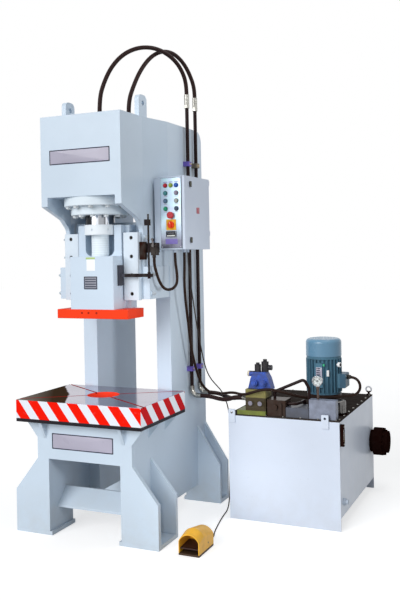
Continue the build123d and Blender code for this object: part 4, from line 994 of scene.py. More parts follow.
def curved_label(axis_x: float, axis_y: float, radius: float, azimuth: float, width: float, z0: float,
                 z1: float, thick: float) -> Surface:
    """Label wrapped on an upright cylinder.

    Rows of points at the inner and outer radius go from one edge angle to the other, at the low and high Z.

    Args:
        axis_x: X of the cylinder's axis.
        axis_y: Y of the cylinder's axis.
        radius: inner radius of the label.
        azimuth: angle of its middle in degrees, from +X towards +Y.
        width: length round the cylinder.
        z0: lower edge.
        z1: upper edge.
        thick: thickness.

    Returns:
        The label's surface.
    """
    half = width / 2 / radius
    t = np.linspace(radians(azimuth) - half, radians(azimuth) + half, 9)
    rows = []
    for r, z in ((radius, z0), (radius + thick, z0), (radius + thick, z1), (radius, z1), (radius, z0)):
        rows.append(np.stack([axis_x + r * np.cos(t), axis_y + r * np.sin(t), np.full(len(t), z)], axis=-1))
    body = Surface(np.concatenate(rows), grid_faces(len(rows), len(t), closed=False))
    ends = [Surface(np.array([rows[k][e] for k in range(4)]), np.array([[0, 1, 2, 3]])) for e in (0, -1)]
    return gathered([body, *ends])


def screw_heads(spots: list[Place], profile: Profile, segments: int) -> Surface:
    """The same turned head at several places, as one surface."""
    return gathered([turned(spot, profile, segments) for spot in spots])


def weld_bead(start: Point, end: Point, radius: float = 0.0035, ripple: float = 0.007) -> Surface:
    """Straight weld bead whose thickness swells and sinks once in each ripple.

    A circle of radius r * (1 + 0.16 * |sin(pi * s / ripple)|) is carried along the line, s being the
    length so far.

    Args:
        start: first end.
        end: last end.
        radius: smallest radius.
        ripple: length of one ripple.

    Returns:
        The bead's surface.
    """
    a, b = np.array(start), np.array(end)
    length = np.linalg.norm(b - a)
    along = (b - a) / length
    helper = np.array([0.0, 0.0, 1.0]) if abs(along[2]) < 0.9 else np.array([1.0, 0.0, 0.0])
    first = np.cross(along, helper)
    first /= np.linalg.norm(first)
    second = np.cross(along, first)
    s = np.linspace(0, length, max(8, int(length / ripple * 4)))
    r = radius * (1 + 0.16 * np.abs(np.sin(pi * s / ripple)))
    r[0] = r[-1] = 0.0
    t = np.linspace(0, 2 * pi, 8, endpoint=False)
    ring = np.cos(t)[:, None] * first + np.sin(t)[:, None] * second
    points = a + s[:, None, None] * along + r[:, None, None] * ring
    return Surface(points.reshape(-1, 3), grid_faces(len(s), len(t)))


def make_object(name: str, surface: Surface, finish: bpy.types.Material,
                smooth_angle: float = SHARP_ANGLE) -> bpy.types.Object:
    """Makes a mesh object from a surface, with closed seams and outward faces.

    Args:
        name: name of the object.
        surface: its points and faces.
        finish: its material.
        smooth_angle: edges sharper than this angle, in degrees, stay sharp.

    Returns:
        The new object, at the origin.
    """
    mesh = bpy.data.meshes.new(name)
    mesh.from_pydata(surface.points.tolist(), [], surface.faces.tolist())
    shape = bmesh.new()
    shape.from_mesh(mesh)
    bmesh.ops.remove_doubles(shape, verts=shape.verts, dist=2e-6)
    bmesh.ops.dissolve_degenerate(shape, edges=shape.edges, dist=1e-7)
    bmesh.ops.recalc_face_normals(shape, faces=shape.faces)
    shape.to_mesh(mesh)
    shape.free()
    mesh.shade_smooth()
    mesh.set_sharp_from_angle(angle=radians(smooth_angle))
    mesh.materials.append(finish)
    piece = bpy.data.objects.new(name, mesh)
    bpy.context.scene.collection.objects.link(piece)
    return piece


def make_words(name: str, marks: list[Mark], finish: bpy.types.Material,
               thick: float = 0.0002) -> bpy.types.Object:
    """Makes flat generic numbers as one mesh.

    Args:
        name: name of the object.
        marks: text, place of its middle and height of each mark.
        finish: material.
        thick: thickness of the marks.

    Returns:
        The new object, at the origin.
    """
    shape = bmesh.new()
    for text, place, size in marks:
        curve = bpy.data.curves.new(f"{name}_text", "FONT")
        curve.body = text
        curve.size = size
        curve.align_x = "CENTER"
        curve.align_y = "CENTER"
        curve.extrude = thick / 2
        helper = bpy.data.objects.new(f"{name}_text", curve)
        bpy.context.scene.collection.objects.link(helper)
        bpy.context.view_layer.update()
        flat = bpy.data.meshes.new_from_object(helper.evaluated_get(bpy.context.evaluated_depsgraph_get()))
        bpy.data.objects.remove(helper)
        columns = np.column_stack([place.right, place.up, place.out, place.middle])
        flat.transform(Matrix(columns.tolist() + [[0, 0, 0, 1]]))
        shape.from_mesh(flat)
    mesh = bpy.data.meshes.new(name)
    shape.to_mesh(mesh)
    shape.free()
    mesh.materials.clear()
    mesh.materials.append(finish)
    piece = bpy.data.objects.new(name, mesh)
    bpy.context.scene.collection.objects.link(piece)
    return piece


RECIPES = (
    Paint("frame_paint", (0.585, 0.690, 0.800), dust=0.25),
    Paint("slide_paint", (0.58, 0.685, 0.80)),
    Paint("red_paint", (0.93, 0.048, 0.006), roughness=0.42, coat=0.0, mottling=0.10, specular=0.12),
    Paint("dark_red", (0.30, 0.012, 0.004), roughness=0.45, coat=0.0, mottling=0.10, specular=0.1),
    Paint("bed_paint", (0.010, 0.008, 0.012), roughness=0.36, coat=0.0, mottling=0.2, specular=0.15),
    StripedTable(),
    Paint("gib_steel", (0.66, 0.745, 0.83), roughness=0.36, coat=0.05),
    Paint("flange_steel", (0.76, 0.85, 0.92), roughness=0.45, coat=0.0, mottling=0.06, specular=0.15),
    OiledChrome(),
    Paint("collar_steel", (0.84, 0.90, 0.95), roughness=0.40, coat=0.0, specular=0.15),
    ZonedFinish("bolt_steel", (0.66, 0.71, 0.74), 0.35, 0.0, (
        Zone(Axis.Z, 1.90, (0.02, 0.018, 0.018), 0.4, 0.3, under=True),
        Zone(Axis.X, 0.285, (0.56, 0.63, 0.69), 0.35, 0.0),
        Zone(Axis.X, -0.285, (0.56, 0.63, 0.69), 0.35, 0.0, under=True),
    ), mottling=0.10, specular=0.15),
    ZonedFinish("stroke_parts", (0.018, 0.012, 0.014), 0.36, 0.0, (
        Zone(Axis.X, 0.1995, (0.075, 0.078, 0.10), 0.42, 0.0, under=True),
    ), mottling=0.15, specular=0.02),
    ZonedFinish("switch_parts", (0.028, 0.022, 0.021), 0.24, 0.3, (
        Zone(Axis.X, 0.3115, (0.026, 0.009, 0.006), 0.34, 0.0, under=True),
    ), mottling=0.25, specular=0.0),
    # Chrome of the limit lever and the rod's thread, given a near-black colour with strong bright streaks:
    # painted shade and painted highlights.
    BareMetal("lever_chrome", (0.085, 0.080, 0.080), roughness=0.2, streak_scale=90.0, contrast=0.9,
              stain=(0.012, 0.008, 0.007), stain_share=0.7),
    Moulding("pipe_black", (0.018, 0.008, 0.008), roughness=0.26, grain=300.0, depth=0.1,
             specular=0.10),
    Moulding("hose_rubber", (0.026, 0.013, 0.012), grain=900.0, depth=0.35, specular=0.09),
    Moulding("conduit_black", (0.021, 0.010, 0.007), roughness=0.40, grain=500.0, depth=0.4,
             specular=0.09),
    Moulding("cable_grey", (0.034, 0.024, 0.019), roughness=0.5, specular=0.14),
    BareMetal("zinc", (0.40, 0.395, 0.365), roughness=0.28, streak_scale=60.0, contrast=0.6,
              stain=(0.05, 0.04, 0.03), stain_share=0.45),
    ZonedFinish("clamp_finish", (0.16, 0.11, 0.50), 0.42, 0.0, (
        Zone(Axis.Y, 0.31, (0.20, 0.17, 0.12), 0.4, 0.4),
        Zone(Axis.Z, 1.5, (0.17, 0.12, 0.52), 0.42, 0.0, under=True),
    ), mottling=0.1),
    Paint("box_paint", (0.52, 0.60, 0.71), roughness=0.42, peel=0.25, mottling=0.03, soft_edge=0.0015),
    Paint("door_paint", (0.56, 0.63, 0.75), roughness=0.42, peel=0.25, mottling=0.03, soft_edge=0.0015),
    FilmedStainless(),
    Moulding("lock_black", (0.020, 0.018, 0.014), roughness=0.34),
    BareMetal("bright_ring", (0.45, 0.47, 0.50), roughness=0.2, stain_share=0.0),
    BezelRings("bezel_rings", 0.0165, (
        (0.400, 2.176, (0.20, 0.008, 0.020)),
        (0.438, 2.176, (0.16, 0.22, 0.045)),
        (0.476, 2.176, (0.012, 0.050, 0.22)),
        (0.400, 2.127, (0.035, 0.135, 0.14)),
        (0.400, 2.0775, (0.055, 0.10, 0.16)),
        (0.400, 2.028, (0.012, 0.16, 0.085)),
        (0.476, 2.127, (0.13, 0.10, 0.15)),
        (0.476, 2.0775, (0.17, 0.18, 0.165)),
        (0.476, 2.028, (0.028, 0.042, 0.070)),
        (0.438, 1.986, (0.16, 0.020, 0.025)),
    )),
    *(Moulding(f"button_{name}", colour, roughness=0.25, depth=0.05) for name, colour in (
        ("teal", (0.07, 0.26, 0.27)),
        ("slate", (0.12, 0.20, 0.30)),
        ("green", (0.03, 0.34, 0.18)),
        ("rose", (0.26, 0.21, 0.28)),
        ("stone", (0.36, 0.37, 0.34)),
        ("navy", (0.05, 0.075, 0.12)),
    )),
    Moulding("lamp_red", (0.50, 0.015, 0.03), roughness=0.12, depth=0.02),
    Moulding("lamp_lime", (0.30, 0.42, 0.07), roughness=0.12, depth=0.02),
    Moulding("lamp_blue", (0.03, 0.12, 0.52), roughness=0.12, depth=0.02),
    Moulding("stop_red", (0.52, 0.035, 0.045), roughness=0.28, depth=0.03),
    Moulding("knob_red", (0.78, 0.05, 0.008), roughness=0.3, depth=0.03),
    Moulding("switch_yellow", (0.85, 0.45, 0.02), roughness=0.4, depth=0.04),
    Moulding("counter_black", (0.012, 0.014, 0.020), roughness=0.3, depth=0.05),
    Moulding("digit_white", (0.72, 0.75, 0.72), roughness=0.5, depth=0.0),
    Moulding("label_violet", (0.20, 0.16, 0.46), depth=0.05),
    Paint("label_lilac", (0.44, 0.42, 0.52), roughness=0.3, mottling=0.12, peel=0.02, soft_edge=0.0002),
    Paint("label_white", (0.93, 0.95, 0.96), roughness=0.35, peel=0.02, soft_edge=0.0002),
    Paint("label_green", (0.42, 0.56, 0.20), roughness=0.4, mottling=0.1, peel=0.02, soft_edge=0.0002),
    Paint("label_red", (0.42, 0.10, 0.13), roughness=0.4, mottling=0.1, peel=0.02, soft_edge=0.0002),
    Paint("label_ink", (0.030, 0.036, 0.065), roughness=0.45, coat=0.0, mottling=0.1, peel=0.02,
          soft_edge=0.0002, specular=0.1),
    Paint("label_grey", (0.27, 0.28, 0.33), roughness=0.4, coat=0.0, mottling=0.15, peel=0.02,
          soft_edge=0.0002),
    Paint("tank_paint", (0.68, 0.75, 0.87), roughness=0.36, dust=0.15),
    ZonedFinish("lid_paint", (0.040, 0.031, 0.028), 0.3, 0.0, (), mottling=0.25, specular=0.0),
    ZonedFinish("tank_fitting", (0.014, 0.004, 0.003), 0.28, 0.0, (
        Zone(Axis.Z, 0.716, (0.86, 0.88, 0.94), 0.36, 0.0),
        Zone(Axis.Z, 0.188, (0.62, 0.70, 0.80), 0.36, 0.0, under=True),
    ), mottling=0.02, specular=0.0),
    BareMetal("cap_metal", (0.16, 0.155, 0.15), roughness=0.25, contrast=0.4, stain_share=0.4),
    ZonedFinish("manifold_finish", (0.25, 0.225, 0.075), 0.36, 0.2, (
        Zone(Axis.Z, 0.7975, (0.060, 0.045, 0.020), 0.34, 0.2, under=True),
        Zone(Axis.Z, 0.7131, (0.19, 0.225, 0.045), 0.38, 0.1, under=True),
        Zone(Axis.Y, 0.1180, (0.26, 0.25, 0.31), 0.30, 0.0, under=True),
        Zone(Axis.X, 0.931, (0.036, 0.018, 0.012), 0.32, 0.1),
        Zone(Axis.X, 1.064, (0.10, 0.11, 0.14), 0.36, 0.3),
        Zone(Axis.X, 1.216, (0.27, 0.30, 0.385), 0.38, 0.1),
    ), mottling=0.12, specular=0.12),
    ZonedFinish("valve_blue", (0.050, 0.110, 0.47), 0.28, 0.0, (
        Zone(Axis.Z, 0.9605, (0.018, 0.018, 0.024), 0.35, 0.1),
    ), mottling=0.20, specular=0.15),
    Moulding("ivory", (0.62, 0.56, 0.44), roughness=0.35),
    BareMetal("brass", (0.52, 0.40, 0.20), roughness=0.28),
    Moulding("lock_bronze", (0.105, 0.11, 0.07), roughness=0.4, depth=0.05),
    Moulding("leaf_green", (0.07, 0.52, 0.26), roughness=0.3, depth=0.02),
    ZonedFinish("motor_paint", (0.085, 0.200, 0.285), 0.32, 0.0, (
        Zone(Axis.X, 1.3445, (0.058, 0.132, 0.200), 0.34, 0.0),
        Zone(Axis.Z, 0.795, (0.030, 0.012, 0.008), 0.34, 0.0, under=True),
    ), mottling=0.08, specular=0.08),
    Paint("cowl_paint", (0.125, 0.265, 0.395), roughness=0.3, coat=0.3, mottling=0.08),
    BareMetal("rotor_steel", (0.35, 0.35, 0.36), roughness=0.4),
    BareMetal("pump_cast", (0.18, 0.18, 0.20), roughness=0.55, streak=(1.0, 1.0, 1.0),
              streak_scale=160.0),
    BareMetal("gauge_case", (0.52, 0.53, 0.55), roughness=0.16, stain_share=0.0),
    ZonedFinish("gauge_body", (0.50, 0.51, 0.53), 0.2, 0.9, (
        Zone(Axis.Z, 0.887, (0.10, 0.070, 0.060), 0.3, 0.6, under=True),
    ), mottling=0.05),
    Paint("dial_white", (0.80, 0.82, 0.80), roughness=0.5, coat=0.0, peel=0.0, soft_edge=0.0002),
    Moulding("ink", (0.015, 0.015, 0.018), roughness=0.5, depth=0.0),
    ClearPane("clear_pane"),
    ZonedFinish("guard_yellow", (0.98, 0.52, 0.045), 0.34, 0.0, (
        Zone(Axis.Z, 0.0125, (0.05, 0.025, 0.012), 0.5, 0.0, under=True),
    ), mottling=0.05),
    Moulding("pedal_black", (0.035, 0.015, 0.012), roughness=0.36, grain=260.0, depth=0.5),
)


class Finishes:
    """Shelf of the press's finishes; each is built once, when it is first asked for."""

    def __init__(self) -> None:
        """Lists the finishes by name."""
        self.recipes = {recipe.name: recipe for recipe in RECIPES}
        self.built: dict[str, bpy.types.Material] = {}

    def __getitem__(self, name: str) -> bpy.types.Material:
        """The material of a finish, built when it is first asked for.

        Args:
            name: name of the finish.

        Returns:
            Its material.
        """
        if name not in self.built:
            self.built[name] = self.recipes[name].material()
        return self.built[name]


@dataclass
class Assembly:
    """Base of the press's sub-assemblies: dresses CAD nodes and adds pieces that ride on a body."""

    finishes: Finishes
    nodes: dict
    plate_thick: float = 0.0012
    plate_corner: float = 0.004
    border_width: float = 0.006
    border_thick: float = 0.0005
    border_gap: float = 0.001
    border_sink: float = 0.0001
    rule_thick: float = 0.0003
    rule_edge: float = 0.0001
    rule_lift: float = 0.0011
    drive_screw_inset: float = 0.0085
    drive_screw: Profile = ((0, -0.0004), (0.0026, -0.0004), (0.0025, 0.0004), (0.0017, 0.0011), (0, 0.0013))

    def dress(self, finish: str, *names: str) -> None:
        """Gives CAD nodes a finish.

        Args:
            finish: name of the finish.
            names: names of the nodes.
        """
        for name in names:
            slots = self.nodes[name].data.materials
            slots.clear()
            slots.append(self.finishes[finish])
        LOG.info("%s on %s", finish, ", ".join(names))

    def add(self, name: str, surface: Surface, finish: str, slot: str, body: str = BODY,
            smooth_angle: float = SHARP_ANGLE) -> None:
        """Adds one piece.

        Args:
            name: name of the piece.
            surface: its shape.
            finish: its finish.
            slot: material slot of the record; not used.
            body: the body that it rides on.
            smooth_angle: sharpest edge, in degrees, that is shaded smooth.
        """
        piece = make_object(name, surface, self.finishes[finish], smooth_angle)
        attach(piece, body)
        LOG.info("piece %s on %s", name, body)

    def add_words(self, name: str, marks: list[Mark], finish: str, slot: str) -> None:
        """Adds generic numbers as one piece of the frame's body.

        Args:
            name: name of the piece.
            marks: text, place and height of each mark.
            finish: its finish.
            slot: material slot of the record; not used.
        """
        piece = make_words(name, marks, self.finishes[finish])
        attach(piece, BODY)
        LOG.info("piece %s on %s", name, BODY)

    def add_plate(self, name: str, place: Place, width: float, height: float, finish: str, slot: str,
                  body: str = BODY, border: str | None = None, screws: bool = True) -> None:
        """Adds a bare plate with an optional border line and four drive screws.

        Args:
            name: name of the plate.
            place: middle of its back.
            width: width.
            height: height.
            finish: finish of the plate.
            slot: material slot.
            body: body that it rides on.
            border: finish of the border line, if it has one.
            screws: whether drive screws hold its corners.
        """
        self.add(name, slab(place, width, height, self.plate_thick, self.plate_corner), finish, slot, body)
        if border:
            front = place.moved(0.0, 0.0, self.plate_thick - self.border_sink)
            band = frame_band(front, width - self.border_gap, height - self.border_gap, self.border_width,
                              self.border_thick)
            self.add(f"{name}_border", band, border, slot, body)
        if screws:
            reach_x, reach_z = width / 2 - self.drive_screw_inset, height / 2 - self.drive_screw_inset
            spots = [place.moved(across * reach_x, upward * reach_z, self.plate_thick)
                     for across in (-1, 1) for upward in (-1, 1)]
            self.add(f"{name}_screws", screw_heads(spots, self.drive_screw, 14), "zinc", slot, body)

    def plain_rules(self, x: float, y: float, levels: list[float], size: Pair) -> Surface:
        """Plain rules across a plate whose back is at x and y, one at each level, as one surface."""
        sizes = (*size, self.rule_thick, self.rule_thick, self.rule_edge)
        return gathered([slab(facing_front(x, y - self.rule_lift, z), *sizes) for z in levels])


@dataclass
class PressFrame(Assembly):
    """Welded frame: columns, base, head and guide housing."""

    head_face_y: float = -0.55875
    head_plate: Flat = (-0.005, 2.354, 0.434, 0.092)
    base_plate: Flat = (-0.009, 0.592, 0.438, 0.098)
    side_x: float = 0.335
    plate_back_y: float = -0.54875
    plate_low_z: float = 0.485
    gusset_x: float = 0.280
    gusset_half: float = 0.010
    gusset_low: float = 0.606
    side_gusset_setbacks: Pair = (0.225, 0.450)
    bed_low_z: float = 0.714
    bead_foot_gap: float = 0.006
    bead_top_gap: float = 0.002
    leg_x: float = 0.281
    leg_setback: float = 0.0315
    leg_z: Pair = (0.030, 0.474)
    pad_z: float = 0.0265
    pad_x: Pair = (0.285, 0.500)
    pad_setbacks: tuple[float, float, float] = (0.032, 0.232, 0.236)

    def build(self) -> None:
        """Dresses the frame and adds its nameplates and weld beads."""
        self.dress("frame_paint", "left_side_frame", "right_side_frame", "front_plate", "front_legs",
                   "table_gussets", "head_shell", "guide_housing", "lifting_lugs")
        self.dress("gib_steel", "gib_blocks")
        self.dress("bolt_steel", "frame_bolts")
        plates = (("head_nameplate", self.head_face_y, self.head_plate),
                  ("base_nameplate", BASE_FRONT_Y, self.base_plate))
        for name, y, (x, z, width, height) in plates:
            self.add_plate(name, facing_front(x, y, z), width, height, "label_lilac", "stainless",
                           border="label_ink")
        self.add_beads()

    def add_beads(self) -> None:
        """Adds the fillet welds of the gussets, the front plate and the legs."""
        beads = []
        low, high = self.gusset_low + self.bead_foot_gap, self.bed_low_z - self.bead_top_gap
        for side in (-1, 1):
            for edge in (-1, 1):
                x = side * self.gusset_x + edge * self.gusset_half
                beads.append(self.upright_bead(x, BASE_FRONT_Y, low, high))
            x = side * self.side_x
            plate_high = self.bed_low_z - 2 * self.bead_top_gap
            beads.append(self.upright_bead(x, self.plate_back_y, self.plate_low_z, plate_high))
            for setback in self.side_gusset_setbacks:
                for edge in (-1, 1):
                    y = BASE_FRONT_Y + setback + edge * self.gusset_half
                    beads.append(self.upright_bead(x, y, low, high))
            front_y, back_y, rear_y = (BASE_FRONT_Y + setback for setback in self.pad_setbacks)
            inner_x, outer_x = (side * reach for reach in self.pad_x)
            leg_x = side * self.leg_x
            beads.append(weld_bead((inner_x, rear_y, self.pad_z), (outer_x, rear_y, self.pad_z)))
            beads.append(weld_bead((leg_x, front_y, self.pad_z), (leg_x, back_y, self.pad_z)))
            beads.append(self.upright_bead(leg_x, BASE_FRONT_Y + self.leg_setback, *self.leg_z))
        self.add("frame_weld_beads", gathered(beads), "frame_paint", "frame_paint", smooth_angle=80)

    def upright_bead(self, x: float, y: float, low: float, high: float) -> Surface:
        """Upright weld bead from one height to another."""
        return weld_bead((x, y, low), (x, y, high))


@dataclass
class Table(Assembly):
    """Bolster with its stripes and the bed plate below it."""

    def build(self) -> None:
        """Dresses the bolster and the bed plate."""
        self.dress("striped_table", "bolster")
        self.dress("bed_paint", "bed_plate")


@dataclass
class Slide(Assembly):
    """Ram, slide, platen and what moves with them, and the cylinder that they hang from."""

    face_y: float = -0.45175
    white_label: Flat = (-0.0025, 1.680, 0.061, 0.070)
    green_label: Flat = (-0.0045, 1.7235, 0.066, 0.012)
    data_plate: Flat = (-0.0055, 1.5695, 0.097, 0.081)
    rule_size: Pair = (0.078, 0.0058)
    rule_pitch: float = 0.0155
    rule_steps: tuple[float, ...] = (-1.5, -0.5, 0.5, 1.5)
    rod_x: float = 0.366
    rod_y: float = -0.37125
    rod_r: float = 0.0061
    thread_z: Pair = (1.958, 1.9885)
    thread_pitch: float = 0.0015
    thread_depth: float = 0.0003
    platen_y: float = -0.45375
    # Three dark red discs on the platen's front: painted shade of tapped holes.
    grub_z: float = 1.381
    grub_xs: tuple[float, float, float] = (-0.072, -0.024, 0.034)
    grub_screw: Profile = ((0, 0.0003), (0.0030, 0.0003), (0.0036, 0.0012), (0.0062, 0.0012),
                           (0.0066, -0.0002))

    def build(self) -> None:
        """Dresses the moving parts and adds the plates on the slide."""
        self.dress("flange_steel", "cylinder_flange", "cylinder_barrel")
        self.dress("oiled_chrome", "ram")
        self.dress("collar_steel", "rod_collar")
        self.dress("slide_paint", "slide_block")
        self.dress("red_paint", "platen")
        self.dress("stroke_parts", "stroke_arm")
        self.dress("switch_parts", "limit_switch")
        self.dress("lever_chrome", "limit_lever")
        self.add_labels()
        self.add_rod_thread()
        self.add_grub_screws()

    def add_labels(self) -> None:
        """Adds the bare white and green labels and the data plate with its plain rules."""
        labels = (("slide_white_label", self.white_label, "label_white"),
                  ("slide_green_label", self.green_label, "label_green"))
        for name, (x, z, width, height), finish in labels:
            self.add_plate(name, facing_front(x, self.face_y, z), width, height, finish, "frame_paint",
                           "slide", screws=False)
        x, z, width, height = self.data_plate
        self.add_plate("slide_data_plate", facing_front(x, self.face_y, z), width, height, "label_grey",
                       "stainless", "slide", border="label_ink")
        levels = [z + step * self.rule_pitch for step in self.rule_steps]
        rules = self.plain_rules(x, self.face_y, levels, self.rule_size)
        self.add("slide_data_rules", rules, "label_ink", "stainless", "slide")

    def add_grub_screws(self) -> None:
        """Adds three dark red discs in the platen's front edge, the painted shade of three tapped holes."""
        spots = [facing_front(x, self.platen_y, self.grub_z) for x in self.grub_xs]
        screws = screw_heads(spots, self.grub_screw, 20)
        self.add("platen_grub_screws", screws, "dark_red", "red_paint", "slide")

    def add_rod_thread(self) -> None:
        """Adds the fine thread on the top of the stroke rod.

        Its profile is a row of ridges one pitch apart that stand a thread's depth proud of the rod.
        """
        levels = np.arange(*self.thread_z, self.thread_pitch / 2)
        ridge = self.rod_r + self.thread_depth * (np.arange(len(levels)) % 2)
        profile = [(0.0, levels[0]), *zip(ridge, levels), (0.0, levels[-1])]
        thread = turned(facing_up(self.rod_x, self.rod_y, 0.0), profile, 20)
        self.add("stroke_rod_thread", thread, "lever_chrome", "zinc", "slide")


@dataclass
class ControlBox(Assembly):
    """Control box with its door, its panel and what is on the panel."""

    panel_y: float = -0.19375
    left_x: float = 0.400
    middle_x: float = 0.438
    right_x: float = 0.476
    lamp_z: float = 2.176
    lens_r: float = 0.0116
    lens_wall: Pair = (0.0035, 0.0095)
    lens_dome: float = 0.0042
    button_z: tuple[float, float, float] = (2.127, 2.0775, 2.028)
    switch_z: float = 1.926
    switch_plate: tuple[float, float, float] = (0.0684, 0.0235, 0.0006)
    switch_plate_lift: float = 0.0029
    switch_number_lift: float = 0.0036
    switch_number_reach: float = 0.0285
    switch_number_size: float = 0.009
    pointer: Sizes = (0.0022, 0.014, 0.0005, 0.001, 0.0002)
    pointer_lift: float = 0.0269
    pointer_rise: float = 0.011
    counter_z: float = 1.867
    counter_lift: float = 0.0088
    counter_face: Sizes = (0.0688, 0.0376, 0.0009, 0.003)
    counter_strip: Sizes = (0.056, 0.008, 0.0005, 0.001)
    strip_lift: float = 0.0008
    strip_drop: float = 0.0105
    digit_lift: float = 0.0011
    digit_rise: float = 0.005
    digit_pitch: float = 0.0098
    digit_size: float = 0.012
    label_sink: float = 0.0001
    button_legend: Sizes = (0.024, 0.0045, 0.0004, 0.0008, 0.0001)
    button_legend_drop: float = 0.0205
    lamp_legend: Sizes = (0.027, 0.0045, 0.0004, 0.0008, 0.0001)
    lamp_legend_rise: float = 0.021
    foot_label: Sizes = (0.084, 0.033, 0.0005, 0.002)
    foot_label_z: float = 1.8205
    screw_xs: Pair = (0.371, 0.502)
    screw_zs: Pair = (1.786, 2.217)
    screw_sink: float = 0.0002
    panel_screw: Profile = ((0, 0), (0.0034, 0), (0.0033, 0.0008), (0.0022, 0.0018), (0, 0.0021))
    box_face_y: float = -0.19175
    seam: Sizes = (0.0042, 0.455, 0.0006, 0.0008, 0.0002)
    seam_x: float = 0.5105
    seam_z: float = 2.0015
    rim: Sizes = (0.1465, 0.4465, 0.0020, 0.0008)
    rim_shift: float = -0.0015
    door_x: float = 0.533
    tag_y: float = 0.01025
    tag_z: float = 2.020
    tag_size: Pair = (0.046, 0.040)
    lock_y: float = -0.10775
    lock_zs: Pair = (2.185, 1.828)
    lock_face: Sizes = (0.013, 0.018, 0.0008, 0.003)
    lock_face_lift: float = 0.0068

    def build(self) -> None:
        """Dresses the box and adds the panel's details."""
        self.dress("box_paint", "control_box", "box_bracket")
        self.dress("door_paint", "box_door")
        self.dress("filmed_stainless", "operator_panel")
        self.dress("bezel_rings", "panel_fittings")
        self.dress("lock_black", "upper_door_lock", "lower_door_lock")
        self.dress("stop_red", "stop_button")
        self.dress("knob_red", "main_switch_knob")
        self.dress("button_teal", "button_left_top")
        self.dress("button_slate", "button_left_middle")
        self.dress("button_green", "button_left_bottom")
        self.dress("button_rose", "button_right_top")
        self.dress("button_stone", "button_right_middle")
        self.dress("button_navy", "button_right_bottom")
        self.add_lamps()
        self.add_switch()
        self.add_counter()
        self.add_labels()
        self.add_panel_screws()
        self.add_seam()
        self.add_door_parts()

    def add_lamps(self) -> None:
        """Adds the domed lenses of the three pilot lamps.

        Each lens is turned from a quarter circle on a short straight wall.
        """
        low, high = self.lens_wall
        dome = [(self.lens_r * cos(a), high + self.lens_dome * sin(a)) for a in np.linspace(0, pi / 2, 7)]
        profile = [(0.0, low), (self.lens_r, low), *dome]
        xs = (self.left_x, self.middle_x, self.right_x)
        for name, x in zip(("lamp_red", "lamp_lime", "lamp_blue"), xs):
            lens = turned(facing_front(x, self.panel_y, self.lamp_z), profile, 32)
            self.add(f"{name}_lens", lens, name, "stainless")

    def add_switch(self) -> None:
        """Adds the yellow plate behind the main switch's knob, its two numbers and the knob's pointer."""
        place = facing_front(self.middle_x, self.panel_y - self.switch_plate_lift, self.switch_z)
        plate = holed_square(place, *self.switch_plate)
        self.add("main_switch_plate", plate, "switch_yellow", "pedal_yellow")
        y, reach = self.panel_y - self.switch_number_lift, self.switch_number_reach
        spots = (facing_front(self.middle_x, y, self.switch_z + reach),
                 facing_front(self.middle_x + reach, y, self.switch_z))
        marks = [(str(number), spot, self.switch_number_size) for number, spot in enumerate(spots)]
        self.add_words("main_switch_numbers", marks, "ink", "black_plastic")
        tip = facing_front(self.middle_x, self.panel_y - self.pointer_lift, self.switch_z + self.pointer_rise)
        pointer = slab(tip, *self.pointer)
        self.add("main_switch_pointer", pointer, "digit_white", "stop_red", "main_switch")

    def add_counter(self) -> None:
        """Adds the stroke counter's black front, its pale strip and its digits."""
        y = self.panel_y - self.counter_lift
        front = slab(facing_front(self.middle_x, y, self.counter_z), *self.counter_face)
        self.add("counter_front", front, "counter_black", "black_plastic")
        low = facing_front(self.middle_x, y - self.strip_lift, self.counter_z - self.strip_drop)
        self.add("counter_strip", slab(low, *self.counter_strip), "digit_white", "stainless")
        y, z = y - self.digit_lift, self.counter_z + self.digit_rise
        marks = [("0", facing_front(self.middle_x + step * self.digit_pitch, y, z), self.digit_size)
                 for step in (-2, -1, 0, 1, 2)]
        self.add_words("counter_digits", marks, "label_grey", "stainless")

    def add_labels(self) -> None:
        """Adds the bare legend strips at the buttons and lamps and the bare violet label at the foot."""
        y = self.panel_y + self.label_sink
        strips = [slab(facing_front(x, y, z - self.button_legend_drop), *self.button_legend)
                  for z in self.button_z for x in (self.left_x, self.right_x)]
        self.add("button_legends", gathered(strips), "label_lilac", "stainless")
        top = [slab(facing_front(x, y, self.lamp_z + self.lamp_legend_rise), *self.lamp_legend)
               for x in (self.left_x, self.middle_x, self.right_x)]
        self.add("lamp_legends", gathered(top), "label_violet", "stainless")
        foot = slab(facing_front(self.middle_x, y, self.foot_label_z), *self.foot_label)
        self.add("panel_foot_label", foot, "label_violet", "stainless")

    def add_panel_screws(self) -> None:
        """Adds the four screws at the panel's corners."""
        y = self.panel_y + self.screw_sink
        spots = [facing_front(x, y, z) for x in self.screw_xs for z in self.screw_zs]
        self.add("panel_screws", screw_heads(spots, self.panel_screw, 16), "bright_ring", "stainless")

    def add_seam(self) -> None:
        """Adds the dark seam between the box's front and its side, and the dark line round the panel."""
        edge = facing_front(self.seam_x, self.box_face_y, self.seam_z)
        middle = facing_front(self.middle_x + self.rim_shift, self.box_face_y, self.seam_z)
        lines = gathered([slab(edge, *self.seam), frame_band(middle, *self.rim)])
        self.add("panel_seam", lines, "label_ink", "rubber")

    def add_door_parts(self) -> None:
        """Adds the tag on the door and the bronze faces of its locks."""
        tag = facing_right(self.door_x, self.tag_y, self.tag_z)
        self.add_plate("door_tag", tag, *self.tag_size, "label_red", "box_paint", "door", screws=False)
        for name, z in zip(("upper_lock", "lower_lock"), self.lock_zs):
            place = facing_right(self.door_x + self.lock_face_lift, self.lock_y, z)
            self.add(f"{name}_face", slab(place, *self.lock_face), "lock_bronze", "zinc", name)


@dataclass(frozen=True)
class CordRoute:
    """One cord: the node that it stands for, its size and the points that it follows."""

    name: str
    node: str
    diameter: float
    length: float
    stiffness: Stiffness
    finish: str
    points: tuple[Point, ...]


